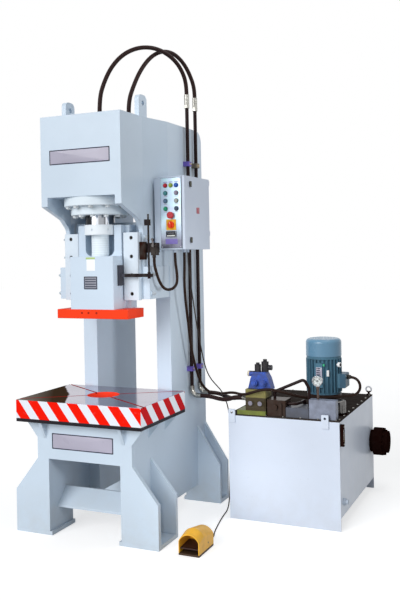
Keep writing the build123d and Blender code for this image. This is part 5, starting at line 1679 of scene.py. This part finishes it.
CORDS = (
    CordRoute("upper_front_hose", "upper_hose_front", 0.028, 1.134, Stiffness.STIFF, "hose_rubber", (
        (0.012, -0.3337, 2.634), (0.012, -0.3337, 2.745), (0.034, -0.3048, 2.855),
        (0.068, -0.2667, 2.955), (0.120, -0.2087, 3.040), (0.183, -0.1318, 3.092),
        (0.243, -0.0437, 3.108), (0.290, 0.0462, 3.093), (0.328, 0.1363, 3.050),
        (0.350, 0.2032, 2.985), (0.360, 0.2422, 2.905), (0.360, 0.2422, 2.832),
    )),
    CordRoute("upper_rear_hose", "upper_hose_rear", 0.028, 1.094, Stiffness.STIFF, "hose_rubber", (
        (0.168, -0.2338, 2.634), (0.168, -0.2338, 2.725), (0.179, -0.1857, 2.830),
        (0.194, -0.1237, 2.935), (0.216, -0.0437, 3.030), (0.240, 0.0432, 3.092),
        (0.265, 0.1263, 3.118), (0.290, 0.2112, 3.113), (0.318, 0.2812, 3.070),
        (0.341, 0.3352, 3.000), (0.360, 0.3762, 2.905), (0.360, 0.3762, 2.832),
    )),
    CordRoute("lower_front_hose", "lower_hose_front", 0.028, 0.352, Stiffness.STIFF, "hose_rubber", (
        (0.426, 0.2422, 0.769), (0.494, 0.2422, 0.769), (0.570, 0.2243, 0.757),
        (0.644, 0.1883, 0.763), (0.708, 0.1663, 0.790), (0.760, 0.1663, 0.790),
    )),
    CordRoute("lower_rear_hose", "lower_hose_rear", 0.028, 0.385, Stiffness.STIFF, "hose_rubber", (
        (0.426, 0.3762, 0.769), (0.496, 0.3762, 0.769), (0.574, 0.3402, 0.755),
        (0.644, 0.2712, 0.757), (0.706, 0.2243, 0.775), (0.760, 0.2243, 0.775),
    )),
    CordRoute("switch_cable", "switch_conduit", 0.018, 0.517, Stiffness.MEDIUM, "conduit_black", (
        (0.435, -0.1417, 1.750), (0.435, -0.1417, 1.692), (0.452, -0.1547, 1.625),
        (0.461, -0.1708, 1.557), (0.447, -0.1888, 1.526), (0.425, -0.2188, 1.514),
        (0.402, -0.2487, 1.526), (0.384, -0.2727, 1.574), (0.372, -0.2888, 1.634),
        (0.366, -0.2988, 1.677), (0.366, -0.2988, 1.719),
    )),
    CordRoute("pack_cable", "pack_conduit", 0.018, 2.410, Stiffness.MEDIUM, "conduit_black", (
        (0.443, -0.0187, 1.750), (0.443, -0.0187, 1.670), (0.440, -0.0217, 1.560),
        (0.430, 0.0112, 1.440), (0.420, 0.0712, 1.280), (0.412, 0.1263, 1.110),
        (0.412, 0.1862, 0.980), (0.416, 0.2562, 0.860), (0.440, 0.3033, 0.798),
        (0.500, 0.2953, 0.775), (0.590, 0.2462, 0.792), (0.690, 0.1762, 0.818),
        (0.780, 0.1212, 0.813), (0.855, 0.1052, 0.838), (0.930, 0.1052, 0.862),
        (1.000, 0.1153, 0.858), (1.065, 0.1613, 0.835), (1.130, 0.2213, 0.805),
        (1.205, 0.2812, 0.788), (1.288, 0.3533, 0.784), (1.338, 0.4012, 0.783),
        (1.374, 0.4512, 0.783), (1.432, 0.4813, 0.786), (1.467, 0.4813, 0.821),
        (1.467, 0.4813, 0.871), (1.432, 0.4813, 0.906), (1.384, 0.4813, 0.906),
    )),
    CordRoute("foot_switch_cable", "foot_cable", 0.008, 2.536, Stiffness.MEDIUM, "cable_grey", (
        (0.408, 0.1113, 1.750), (0.408, 0.1113, 1.695), (0.409, 0.1232, 1.630),
        (0.411, 0.1432, 1.530), (0.412, 0.1713, 1.430), (0.412, 0.2032, 1.320),
        (0.412, 0.2432, 1.205), (0.412, 0.2873, 1.095), (0.413, 0.3332, 0.985),
        (0.417, 0.3792, 0.905), (0.432, 0.4193, 0.848), (0.462, 0.4412, 0.806),
        (0.503, 0.4333, 0.770), (0.545, 0.3962, 0.722), (0.584, 0.3513, 0.662),
        (0.606, 0.3113, 0.575), (0.616, 0.2853, 0.475), (0.617, 0.2823, 0.365),
        (0.614, 0.2812, 0.260), (0.610, 0.2823, 0.155), (0.605, 0.2833, 0.070),
        (0.603, 0.2712, 0.026), (0.606, 0.2333, 0.0042), (0.614, 0.1762, 0.0042),
        (0.628, 0.0912, 0.0042), (0.646, 0.0013, 0.0042), (0.666, -0.0887, 0.0042),
        (0.688, -0.1787, 0.0042), (0.709, -0.2367, 0.0042), (0.723, -0.2767, 0.0142),
        (0.735, -0.3147, 0.040), (0.735, -0.3568, 0.040),
    )),
)


@dataclass
class Hoses(Assembly):
    """Riser pipes, their clamps and fittings, and the seven hoses and cables."""

    riser_x: float = 0.360
    riser_y: Pair = (0.24225, 0.37625)
    sleeve_low: float = 2.762
    sleeve_high: float = 2.8315
    sleeve_r: float = 0.0172
    sleeve_bore: float = 0.0141
    crimps: int = 7
    crimp_depth: float = 0.0003
    clamp_face_x: float = 0.3795
    clamp_zs: Pair = (0.952, 2.356)
    clamp_screw_reach: float = 0.0099
    clamp_screw: Profile = ((0, 0), (0.005, 0), (0.0048, 0.002), (0.003, 0.0034), (0, 0.0038))

    def build(self) -> None:
        """Dresses the pipework, lays the cords and adds the crimped sleeves and the clamps' screws."""
        self.dress("pipe_black", "hydraulic_pipes")
        self.dress("clamp_finish", "pipe_clamps")
        self.dress("zinc", "hose_fittings")
        for route in CORDS:
            self.lay(route)
        for name, y in zip(("front", "rear"), self.riser_y):
            self.add(f"{name}_crimped_sleeve", self.crimped_sleeve(y), "zinc", "zinc")
        self.add_clamp_screws()

    def lay(self, route: CordRoute) -> None:
        """Lays one cord as a smooth spline through its route's control points.

        Args:
            route: the cord's size, node and control points.
        """
        curve = bpy.data.curves.new(route.name, "CURVE")
        curve.dimensions = "3D"
        curve.bevel_depth = route.diameter / 2
        curve.bevel_resolution = 5
        curve.resolution_u = 10
        curve.use_fill_caps = True
        spline = curve.splines.new("NURBS")
        spline.points.add(len(route.points) - 1)
        spline.points.foreach_set("co", [value for point in route.points for value in (*point, 1.0)])
        spline.order_u = 3
        spline.use_endpoint_u = True
        curve.materials.append(self.finishes[route.finish])
        piece = bpy.data.objects.new(route.name, curve)
        bpy.context.scene.collection.objects.link(piece)
        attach(piece, BODY)
        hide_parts(route.node)
        route.points[0]
        LOG.info("cord %s", route.name)

    def crimped_sleeve(self, y: float) -> Surface:
        """Hose sleeve with crimp grooves.

        The radius is a crimp's depth over or under the sleeve's, with the sign of the cosine of the
        height, which goes round once for each crimp.

        Args:
            y: Y of the hose.

        Returns:
            The sleeve's surface.
        """
        levels = np.linspace(self.sleeve_low, self.sleeve_high, 57)
        share = (levels - self.sleeve_low) / (self.sleeve_high - self.sleeve_low)
        radius = self.sleeve_r + self.crimp_depth * np.sign(np.cos(share * 2 * self.crimps * pi))
        profile = [(self.sleeve_bore, levels[0]), *zip(radius, levels), (self.sleeve_bore, levels[-1])]
        return turned(facing_up(self.riser_x, y, 0.0), profile, 28)

    def add_clamp_screws(self) -> None:
        """Adds the two domed screws of each pipe clamp."""
        spots = [facing_right(self.clamp_face_x, y + step, z) for y in self.riser_y for z in self.clamp_zs
                 for step in (-self.clamp_screw_reach, self.clamp_screw_reach)]
        self.add("clamp_screws", screw_heads(spots, self.clamp_screw, 16), "brass", "zinc")


@dataclass
class PowerPack(Assembly):
    """Tank with its motor, pump, valve block and gauge."""

    lid_z: float = 0.685
    lid_screw_xs: tuple[float, float, int] = (0.700, 1.390, 7)
    lid_screw_ys: tuple[float, float, int] = (0.170, 1.060, 8)
    lid_screw_sink: float = 0.0005
    lid_edge_xs: Pair = (0.688, 1.402)
    lid_edge_ys: Pair = (0.1345, 1.0930)
    lid_screw: Profile = ((0, 0), (0.0065, 0), (0.0065, 0.0048), (0.0052, 0.006), (0, 0.006))
    tank_right: float = 1.415
    level_y: float = 0.14825
    oil: Sizes = (0.0172, 0.050, 0.003, 0.003)
    oil_lift: float = 0.0141
    oil_z: float = 0.578
    pane: Sizes = (0.0174, 0.081, 0.002, 0.003)
    pane_lift: float = 0.0186
    pane_z: float = 0.593
    level_screw_lift: float = 0.0218
    level_screw_zs: Pair = (0.539, 0.647)
    level_screw: Profile = ((0, 0), (0.0055, 0), (0.005, 0.002), (0.003, 0.003), (0, 0.0034))
    motor_x: float = 1.226
    motor_y: float = 0.48125
    motor_r: float = 0.118
    motor_plate: Pair = (0.041, 0.096)
    motor_plate_shift: float = -0.0005
    motor_plate_z: float = 0.930
    motor_plate_setback: float = 0.124
    rule_size: Pair = (0.026, 0.0068)
    rule_shift: float = -0.0045
    rule_pitch: float = 0.0135
    rule_steps: tuple[float, ...] = (-2, -1, 0, 1, 2, 3)
    label_gap: float = 0.0002
    white_label: tuple[float, ...] = (-63.0, 0.016, 0.919, 0.959, 0.0008)
    green_label: tuple[float, ...] = (-76.0, 0.013, 0.986, 1.001, 0.0008)
    box_face_reach: float = 0.1578
    box_screw_reach: float = 0.040
    box_screw_zs: Pair = (0.852, 0.916)
    box_screw: Profile = ((0, 0), (0.0042, 0), (0.0040, 0.0016), (0.0026, 0.0028), (0, 0.0031))
    gland_z: float = 0.906
    gland: Profile = ((0.0092, 0.0), (0.0155, 0.0), (0.0155, 0.008), (0.0135, 0.010), (0.0135, 0.020),
                      (0.0115, 0.024), (0.0092, 0.024))
    foot_bolt_count: int = 6
    foot_bolt_reach: float = 0.102
    foot_bolt_start: float = 0.3
    foot_bolt_lift: float = 0.0138
    foot_bolt: Profile = ((0, 0), (0.0085, 0), (0.0085, 0.007), (0.007, 0.009), (0, 0.009))
    boss_azimuth: float = -20.0
    boss_z: float = 0.990
    boss: Profile = ((0.0, 0.112), (0.0165, 0.112), (0.0165, 0.1305), (0.0150, 0.1320), (0.0, 0.1320))
    # A thin dark disc on the boss's end: painted shade of its threaded hole.
    boss_hole: Profile = ((0.0, 0.1315), (0.0105, 0.1315), (0.0105, 0.1325), (0.0, 0.1325))
    gauge_x: float = 1.268
    gauge_y: float = 0.15625
    gauge_z: float = 0.922
    dial_r: float = 0.0290
    dial_thick: float = 0.0006
    dial_depth: float = 0.0089
    dial_start: float = -135.0
    long_tick: Sizes = (0.0008, 0.0036, 0.0002, 0.0001, 0.00005)
    short_tick: Sizes = (0.0004, 0.0020, 0.0002, 0.0001, 0.00005)
    tick_margin: float = 0.0015
    tick_depth: float = 0.0083
    tick_angle: float = 13.5
    tick_count: int = 21
    ticks_per_number: int = 5
    number_step: int = 100
    number_inset: float = 0.0100
    number_depth: float = 0.0081
    number_size: float = 0.0044
    gauge_rim: Profile = ((0.0285, 0.0006), (0.0285, 0.0030), (0.0305, 0.0042), (0.0328, 0.0030),
                          (0.0334, 0.0), (0.0334, -0.004), (0.0329, -0.004))
    gauge_glass: Profile = ((0, 0.0010), (0.0286, 0.0010), (0.0286, 0.0022), (0, 0.0026))
    nut_middle: Point = (0.8095, 0.17575, 0.948)
    nut_cap: Profile = ((0, -0.001), (0.0165, -0.001), (0.0185, 0.002), (0.0185, 0.010), (0.015, 0.013),
                        (0.010, 0.013), (0.0095, 0.009), (0, 0.009))
    nut_core: Profile = ((0, 0.0085), (0.0062, 0.0085), (0.0055, 0.0125), (0, 0.0128))
    solenoid_tops: tuple[tuple[Point, float], ...] = (((0.862, 0.18825, 1.0161), 0.0100),
                                                      ((0.908, 0.20025, 1.0381), 0.0110))
    cap_brim: float = 0.002
    cap_heights: tuple[float, float, float] = (0.003, 0.0045, 0.0050)
    cap_crown: float = 0.6

    def build(self) -> None:
        """Dresses the pack and adds its labels, gauge face, gland and screws."""
        self.dress("tank_paint", "tank_body")
        self.dress("lid_paint", "tank_lid")
        self.dress("tank_fitting", "tank_fittings")
        self.dress("cap_metal", "breather_cap")
        self.dress("manifold_finish", "valve_manifold")
        self.dress("valve_blue", "valve_stack")
        self.dress("motor_paint", "motor_housing")
        self.dress("cowl_paint", "fan_cowl")
        self.dress("rotor_steel", "motor_rotor")
        self.dress("pump_cast", "pump")
        self.dress("gauge_body", "pressure_gauge")
        self.dress("ink", "gauge_needle")
        self.add_gauge()
        self.add_motor_labels()
        self.add_lifting_boss()
        self.add_terminal_box_parts()
        self.add_foot_bolts()
        self.add_valve_parts()
        self.add_level_glass()
        self.add_lid_screws()

    def dial_place(self, angle: float, reach: float, lift: float) -> Place:
        """Place on the dial, turned so that its up points away from the dial's middle.

        Args:
            angle: degrees clockwise from the top.
            reach: distance from the middle.
            lift: distance behind the gauge's front.

        Returns:
            The place.
        """
        across, upward = sin(radians(angle)), cos(radians(angle))
        middle = (self.gauge_x + reach * across, self.gauge_y + lift, self.gauge_z + reach * upward)
        return Place(middle, (upward, 0.0, -across), (across, 0.0, upward))

    def add_gauge(self) -> None:
        """Adds the dial with its ticks and numbers, the glass and the bright rim."""
        face = facing_front(self.gauge_x, self.gauge_y + self.dial_depth, self.gauge_z)
        r, thick = self.dial_r, self.dial_thick
        disc = turned(face, ((0, 0), (r, 0), (r, thick), (0, thick)), 48)
        self.add("gauge_dial", disc, "dial_white", "stainless")
        ticks = []
        for step in range(self.tick_count):
            tick = self.short_tick if step % self.ticks_per_number else self.long_tick
            reach = r - self.tick_margin - tick[1] / 2
            spot = self.dial_place(self.dial_start + step * self.tick_angle, reach, self.tick_depth)
            ticks.append(slab(spot, *tick))
        self.add("gauge_ticks", gathered(ticks), "ink", "black_plastic")
        marks = []
        for step in range(0, self.tick_count, self.ticks_per_number):
            angle = self.dial_start + step * self.tick_angle
            spot = self.dial_place(angle, r - self.number_inset, self.number_depth)
            number = str(step // self.ticks_per_number * self.number_step)
            marks.append((number, facing_front(*spot.middle), self.number_size))
        self.add_words("gauge_numbers", marks, "ink", "black_plastic")
        front = facing_front(self.gauge_x, self.gauge_y, self.gauge_z)
        self.add("gauge_rim", turned(front, self.gauge_rim, 48), "gauge_case", "zinc")
        self.add("gauge_glass", turned(front, self.gauge_glass, 48), "clear_pane", "stainless")

    def add_motor_labels(self) -> None:
        """Adds the motor's bare rating plate with its plain rules, and its white and green labels."""
        y = self.motor_y - self.motor_plate_setback
        place = facing_front(self.motor_x + self.motor_plate_shift, y, self.motor_plate_z)
        self.add_plate("motor_plate", place, *self.motor_plate, "label_lilac", "stainless")
        levels = [self.motor_plate_z + step * self.rule_pitch for step in self.rule_steps]
        rules = self.plain_rules(self.motor_x + self.rule_shift, y, levels, self.rule_size)
        self.add("motor_plate_rules", rules, "label_ink", "stainless")
        shell_r = self.motor_r + self.label_gap
        white = curved_label(self.motor_x, self.motor_y, shell_r, *self.white_label)
        self.add("motor_white_label", white, "label_white", "stainless")
        green = curved_label(self.motor_x, self.motor_y, shell_r, *self.green_label)
        self.add("motor_green_label", green, "leaf_green", "stainless")

    def add_lifting_boss(self) -> None:
        """Adds the threaded boss for a lifting eye on the motor's side, coloured white as a painted
        highlight, and a dark disc on its end as the painted shade of its hole.
        """
        turn = radians(self.boss_azimuth)
        spot = Place((self.motor_x, self.motor_y, self.boss_z), (-sin(turn), cos(turn), 0.0), (0.0, 0.0, 1.0))
        # White on a metal boss: painted highlight.
        self.add("motor_lifting_boss", turned(spot, self.boss, 32), "label_white", "zinc")
        self.add("motor_boss_hole", turned(spot, self.boss_hole, 24), "ink", "black_plastic")

    def add_terminal_box_parts(self) -> None:
        """Adds the terminal box's four cover screws and the gland of its cable."""
        side_x = self.motor_x + self.box_face_reach
        spots = [facing_right(side_x, self.motor_y + step, z)
                 for step in (-self.box_screw_reach, self.box_screw_reach) for z in self.box_screw_zs]
        self.add("terminal_box_screws", screw_heads(spots, self.box_screw, 16), "zinc", "zinc")
        gland = turned(facing_right(side_x, self.motor_y, self.gland_z), self.gland, 24)
        self.add("terminal_box_gland", gland, "lock_black", "black_plastic")

    def add_foot_bolts(self) -> None:
        """Adds the hexagon bolts that hold the motor's foot."""
        spots = []
        for step in range(self.foot_bolt_count):
            angle = step * 2 * pi / self.foot_bolt_count + self.foot_bolt_start
            x = self.motor_x + self.foot_bolt_reach * cos(angle)
            y = self.motor_y + self.foot_bolt_reach * sin(angle)
            spots.append(facing_up(x, y, self.lid_z + self.foot_bolt_lift))
        self.add("motor_foot_bolts", screw_heads(spots, self.foot_bolt, 6), "zinc", "zinc", smooth_angle=20)

    def add_valve_parts(self) -> None:
        """Adds the ivory nut and the caps of the solenoids."""
        nut_place = Place(self.nut_middle, (0.0, -1.0, 0.0), (0.0, 0.0, 1.0))
        self.add("valve_nut_cap", turned(nut_place, self.nut_cap, 32), "ivory", "zinc")
        self.add("valve_nut_core", turned(nut_place, self.nut_core, 24), "brass", "zinc")
        caps = []
        low, middle, high = self.cap_heights
        for top, r in self.solenoid_tops:
            brim, crown = r + self.cap_brim, r * self.cap_crown
            profile = ((0, 0), (brim, 0), (brim, low), (r, middle), (crown, high), (0, high))
            caps.append(turned(facing_up(*top), profile, 24))
        self.add("solenoid_caps", gathered(caps), "zinc", "zinc")

    def add_level_glass(self) -> None:
        """Adds the oil in the level gauge, its pane and its two end screws."""
        oil = slab(facing_right(self.tank_right + self.oil_lift, self.level_y, self.oil_z), *self.oil)
        self.add("level_oil", oil, "switch_yellow", "stainless")
        pane = slab(facing_right(self.tank_right + self.pane_lift, self.level_y, self.pane_z), *self.pane)
        self.add("level_pane", pane, "clear_pane", "stainless")
        x = self.tank_right + self.level_screw_lift
        spots = [facing_right(x, self.level_y, z) for z in self.level_screw_zs]
        self.add("level_screws", screw_heads(spots, self.level_screw, 16), "zinc", "zinc")

    def add_lid_screws(self) -> None:
        """Adds the row of cap screws round the tank's lid."""
        places = [(x, y) for x in np.linspace(*self.lid_screw_xs).tolist() for y in self.lid_edge_ys]
        places += [(x, y) for y in np.linspace(*self.lid_screw_ys).tolist() for x in self.lid_edge_xs]
        spots = [facing_up(x, y, self.lid_z - self.lid_screw_sink) for x, y in places]
        self.add("lid_screws", screw_heads(spots, self.lid_screw, 12), "zinc", "zinc")


@dataclass
class FootSwitch(Assembly):
    """Foot switch with its guard and pedal."""

    middle_x: float = 0.698
    rear_y: float = -0.36875
    housing_z: float = 0.0455
    housing_gap: float = 0.0002
    housing: Sizes = (0.098, 0.066, 0.0065, 0.006, 0.002)

    def build(self) -> None:
        """Dresses the foot switch and adds the dark contact housing at its heel."""
        self.dress("guard_yellow", "foot_guard")
        self.dress("pedal_black", "foot_pedal")
        middle = (self.middle_x, self.rear_y - self.housing_gap, self.housing_z)
        place = Place(middle, (-1.0, 0.0, 0.0), (0.0, 0.0, 1.0))
        self.add("contact_housing", slab(place, *self.housing), "lock_black", "black_plastic")


@dataclass
class Studio:
    """Floor, world, lamps and camera."""

    eye: Point = (2.63533, -4.69199, 1.74234)
    yaw: float = 24.06
    pitch: float = -0.06
    roll: float = -1.08
    focal_pixels: float = 790.54
    picture_height: float = 600.0
    sensor: float = 36.0
    shift: Pair = (0.0014, -0.0765)
    view_end: float = 100.0
    floor_half: float = 30.0
    floor_glow: float = 0.63
    floor_tones: tuple[Colour, Colour] = ((0.585, 0.59, 0.595), (0.615, 0.615, 0.615))
    floor_roughness: float = 0.9
    sky_colour: Colour = (0.96, 0.98, 1.0)
    sky_level: float = 0.40
    white_colour: Colour = (1.0, 1.0, 1.0)
    white_level: float = 1.0
    aim: Point = (0.3, 0.0, 1.5)
    key_place: Point = (-1.9, -6.6, 4.1)
    key_level: float = 2.15
    key_softness: float = 40.0
    fill_place: Point = (1.8, 0.2, 3.7)
    fill_size: float = 1.2
    fill_power: float = 16.0
    side_place: Point = (3.2, -1.5, 1.5)
    side_aim: Point = (0.3, -0.35, 1.2)
    side_power: float = 150.0
    side_cone: float = 40.0
    side_blend: float = 0.9
    low_place: Point = (2.3, -4.2, 1.3)
    low_aim: Point = (0.47, 0.42, 0.16)
    low_power: float = 330.0
    low_cone: float = 11.0
    low_blend: float = 1.0
    spot_radius: float = 0.3

    def build(self) -> None:
        """Sets up everything round the press."""
        self.make_floor()
        self.make_world()
        self.make_lamps()
        self.make_camera()

    def seen_share(self, tree: bpy.types.NodeTree) -> Socket:
        """Share of the rays that see: 1 from the camera, from a mirror or through glass, and 0 for the rest.

        Args:
            tree: tree that the nodes go into.

        Returns:
            The share.
        """
        path = tree.nodes.new("ShaderNodeLightPath")
        first = tree.nodes.new("ShaderNodeMath")
        first.operation = "MAXIMUM"
        tree.links.new(path.outputs["Is Camera Ray"], first.inputs[0])
        tree.links.new(path.outputs["Is Glossy Ray"], first.inputs[1])
        second = tree.nodes.new("ShaderNodeMath")
        second.operation = "MAXIMUM"
        tree.links.new(first.outputs[0], second.inputs[0])
        tree.links.new(path.outputs["Is Transmission Ray"], second.inputs[1])
        return second.outputs[0]

    def make_floor(self) -> None:
        """Lays a wide pale floor that shows white and keeps a soft shadow."""
        mesh = bpy.data.meshes.new("floor")
        half = self.floor_half
        points = [(-half, -half, 0), (half, -half, 0), (half, half, 0), (-half, half, 0)]
        mesh.from_pydata(points, [], [(0, 1, 2, 3)])
        graph = Graph("floor")
        graph.set("Base Color", graph.blend(graph.mottle(0.8, 2.0), *self.floor_tones))
        graph.set("Roughness", self.floor_roughness)
        graph.set("Specular IOR Level", 0.0)
        graph.set("Emission Color", self.white_colour)
        glow = graph.math("MULTIPLY", self.seen_share(graph.tree), self.floor_glow)
        graph.set("Emission Strength", glow)
        mesh.materials.append(graph.material)
        floor = bpy.data.objects.new("floor", mesh)
        bpy.context.scene.collection.objects.link(floor)

    def make_world(self) -> None:
        """Makes a pale world: white where it is seen, softer where it lights."""
        world = bpy.data.worlds.new("studio")
        bpy.context.scene.world = world
        world.use_nodes = True
        tree = world.node_tree
        tree.nodes.clear()
        output = tree.nodes.new("ShaderNodeOutputWorld")
        mix = tree.nodes.new("ShaderNodeMixShader")
        tree.links.new(self.seen_share(tree), mix.inputs[0])
        skies = ((self.sky_colour, self.sky_level), (self.white_colour, self.white_level))
        for socket, (colour, level) in zip(mix.inputs[1:], skies):
            sky = tree.nodes.new("ShaderNodeBackground")
            sky.inputs["Color"].default_value = (*colour, 1.0)
            sky.inputs["Strength"].default_value = level
            tree.links.new(sky.outputs[0], socket)
        tree.links.new(mix.outputs[0], output.inputs[0])

    def make_lamps(self) -> None:
        """Hangs a broad key light at the front, a weak fill over the power pack and two soft spots.

        One spot lights the press's right side, and the low one the rear foot and the foot switch.
        """
        key = bpy.data.lights.new("key_light", "SUN")
        key.energy = self.key_level
        key.angle = radians(self.key_softness)
        self.hang(key, self.key_place, self.aim)
        fill = bpy.data.lights.new("fill_light", "AREA")
        fill.size = self.fill_size
        fill.energy = self.fill_power
        self.hang(fill, self.fill_place, self.aim)
        self.add_spot("side_light", self.side_place, self.side_aim, self.side_power, self.side_cone,
                      self.side_blend)
        self.add_spot("low_light", self.low_place, self.low_aim, self.low_power, self.low_cone,
                      self.low_blend)

    def add_spot(self, name: str, place: Point, aim: Point, power: float, cone: float,
                 blend: float) -> None:
        """Hangs a soft spot light.

        Args:
            name: name of the light.
            place: where it hangs.
            aim: the point that it is turned to.
            power: its power in watts.
            cone: whole angle of its cone in degrees.
            blend: share of the cone over which its edge fades.
        """
        spot = bpy.data.lights.new(name, "SPOT")
        spot.energy = power
        spot.spot_size = radians(cone)
        spot.spot_blend = blend
        spot.shadow_soft_size = self.spot_radius
        self.hang(spot, place, aim)

    def hang(self, light: bpy.types.Light, place: Point, aim: Point) -> None:
        """Hangs a light at a place and turns it towards a point.

        Args:
            light: the light.
            place: where it hangs.
            aim: the point that it is turned to.
        """
        lamp = bpy.data.objects.new(light.name, light)
        back = np.array(place) - np.array(aim)
        back /= np.linalg.norm(back)
        right = np.cross((0.0, 0.0, 1.0), back)
        right /= np.linalg.norm(right)
        columns = np.column_stack([right, np.cross(back, right), back, place])
        lamp.matrix_world = Matrix(columns.tolist() + [[0, 0, 0, 1]])
        lamp.visible_camera = False
        bpy.context.scene.collection.objects.link(lamp)

    def make_camera(self) -> None:
        """Places the camera where the photograph was taken."""
        yaw, pitch, roll = radians(self.yaw), radians(self.pitch), radians(self.roll)
        forward = np.array([-sin(yaw) * cos(pitch), cos(yaw) * cos(pitch), sin(pitch)])
        level = np.array([cos(yaw), sin(yaw), 0.0])
        upright = np.cross(level, forward)
        right = cos(roll) * level + sin(roll) * upright
        up = -sin(roll) * level + cos(roll) * upright
        data = bpy.data.cameras.new("camera")
        data.sensor_width = self.sensor
        data.lens = self.focal_pixels * self.sensor / self.picture_height
        data.shift_x, data.shift_y = self.shift
        data.clip_end = self.view_end
        camera = bpy.data.objects.new("camera", data)
        columns = np.column_stack([right, up, -forward, self.eye])
        camera.matrix_world = Matrix(columns.tolist() + [[0, 0, 0, 1]])
        bpy.context.scene.collection.objects.link(camera)
        bpy.context.scene.camera = camera
        bpy.context.scene.view_settings.view_transform = "Standard"


def main() -> None:
    """Loads the frame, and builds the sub-assemblies and the studio."""
    logging.basicConfig(level=logging.INFO, format="%(name)s: %(message)s")
    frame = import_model()
    finishes = Finishes()
    for kind in (PressFrame, Table, Slide, ControlBox, Hoses, PowerPack, FootSwitch):
        kind(finishes, frame["nodes"]).build()
    Studio().build()


if __name__ == "__main__":
    main()
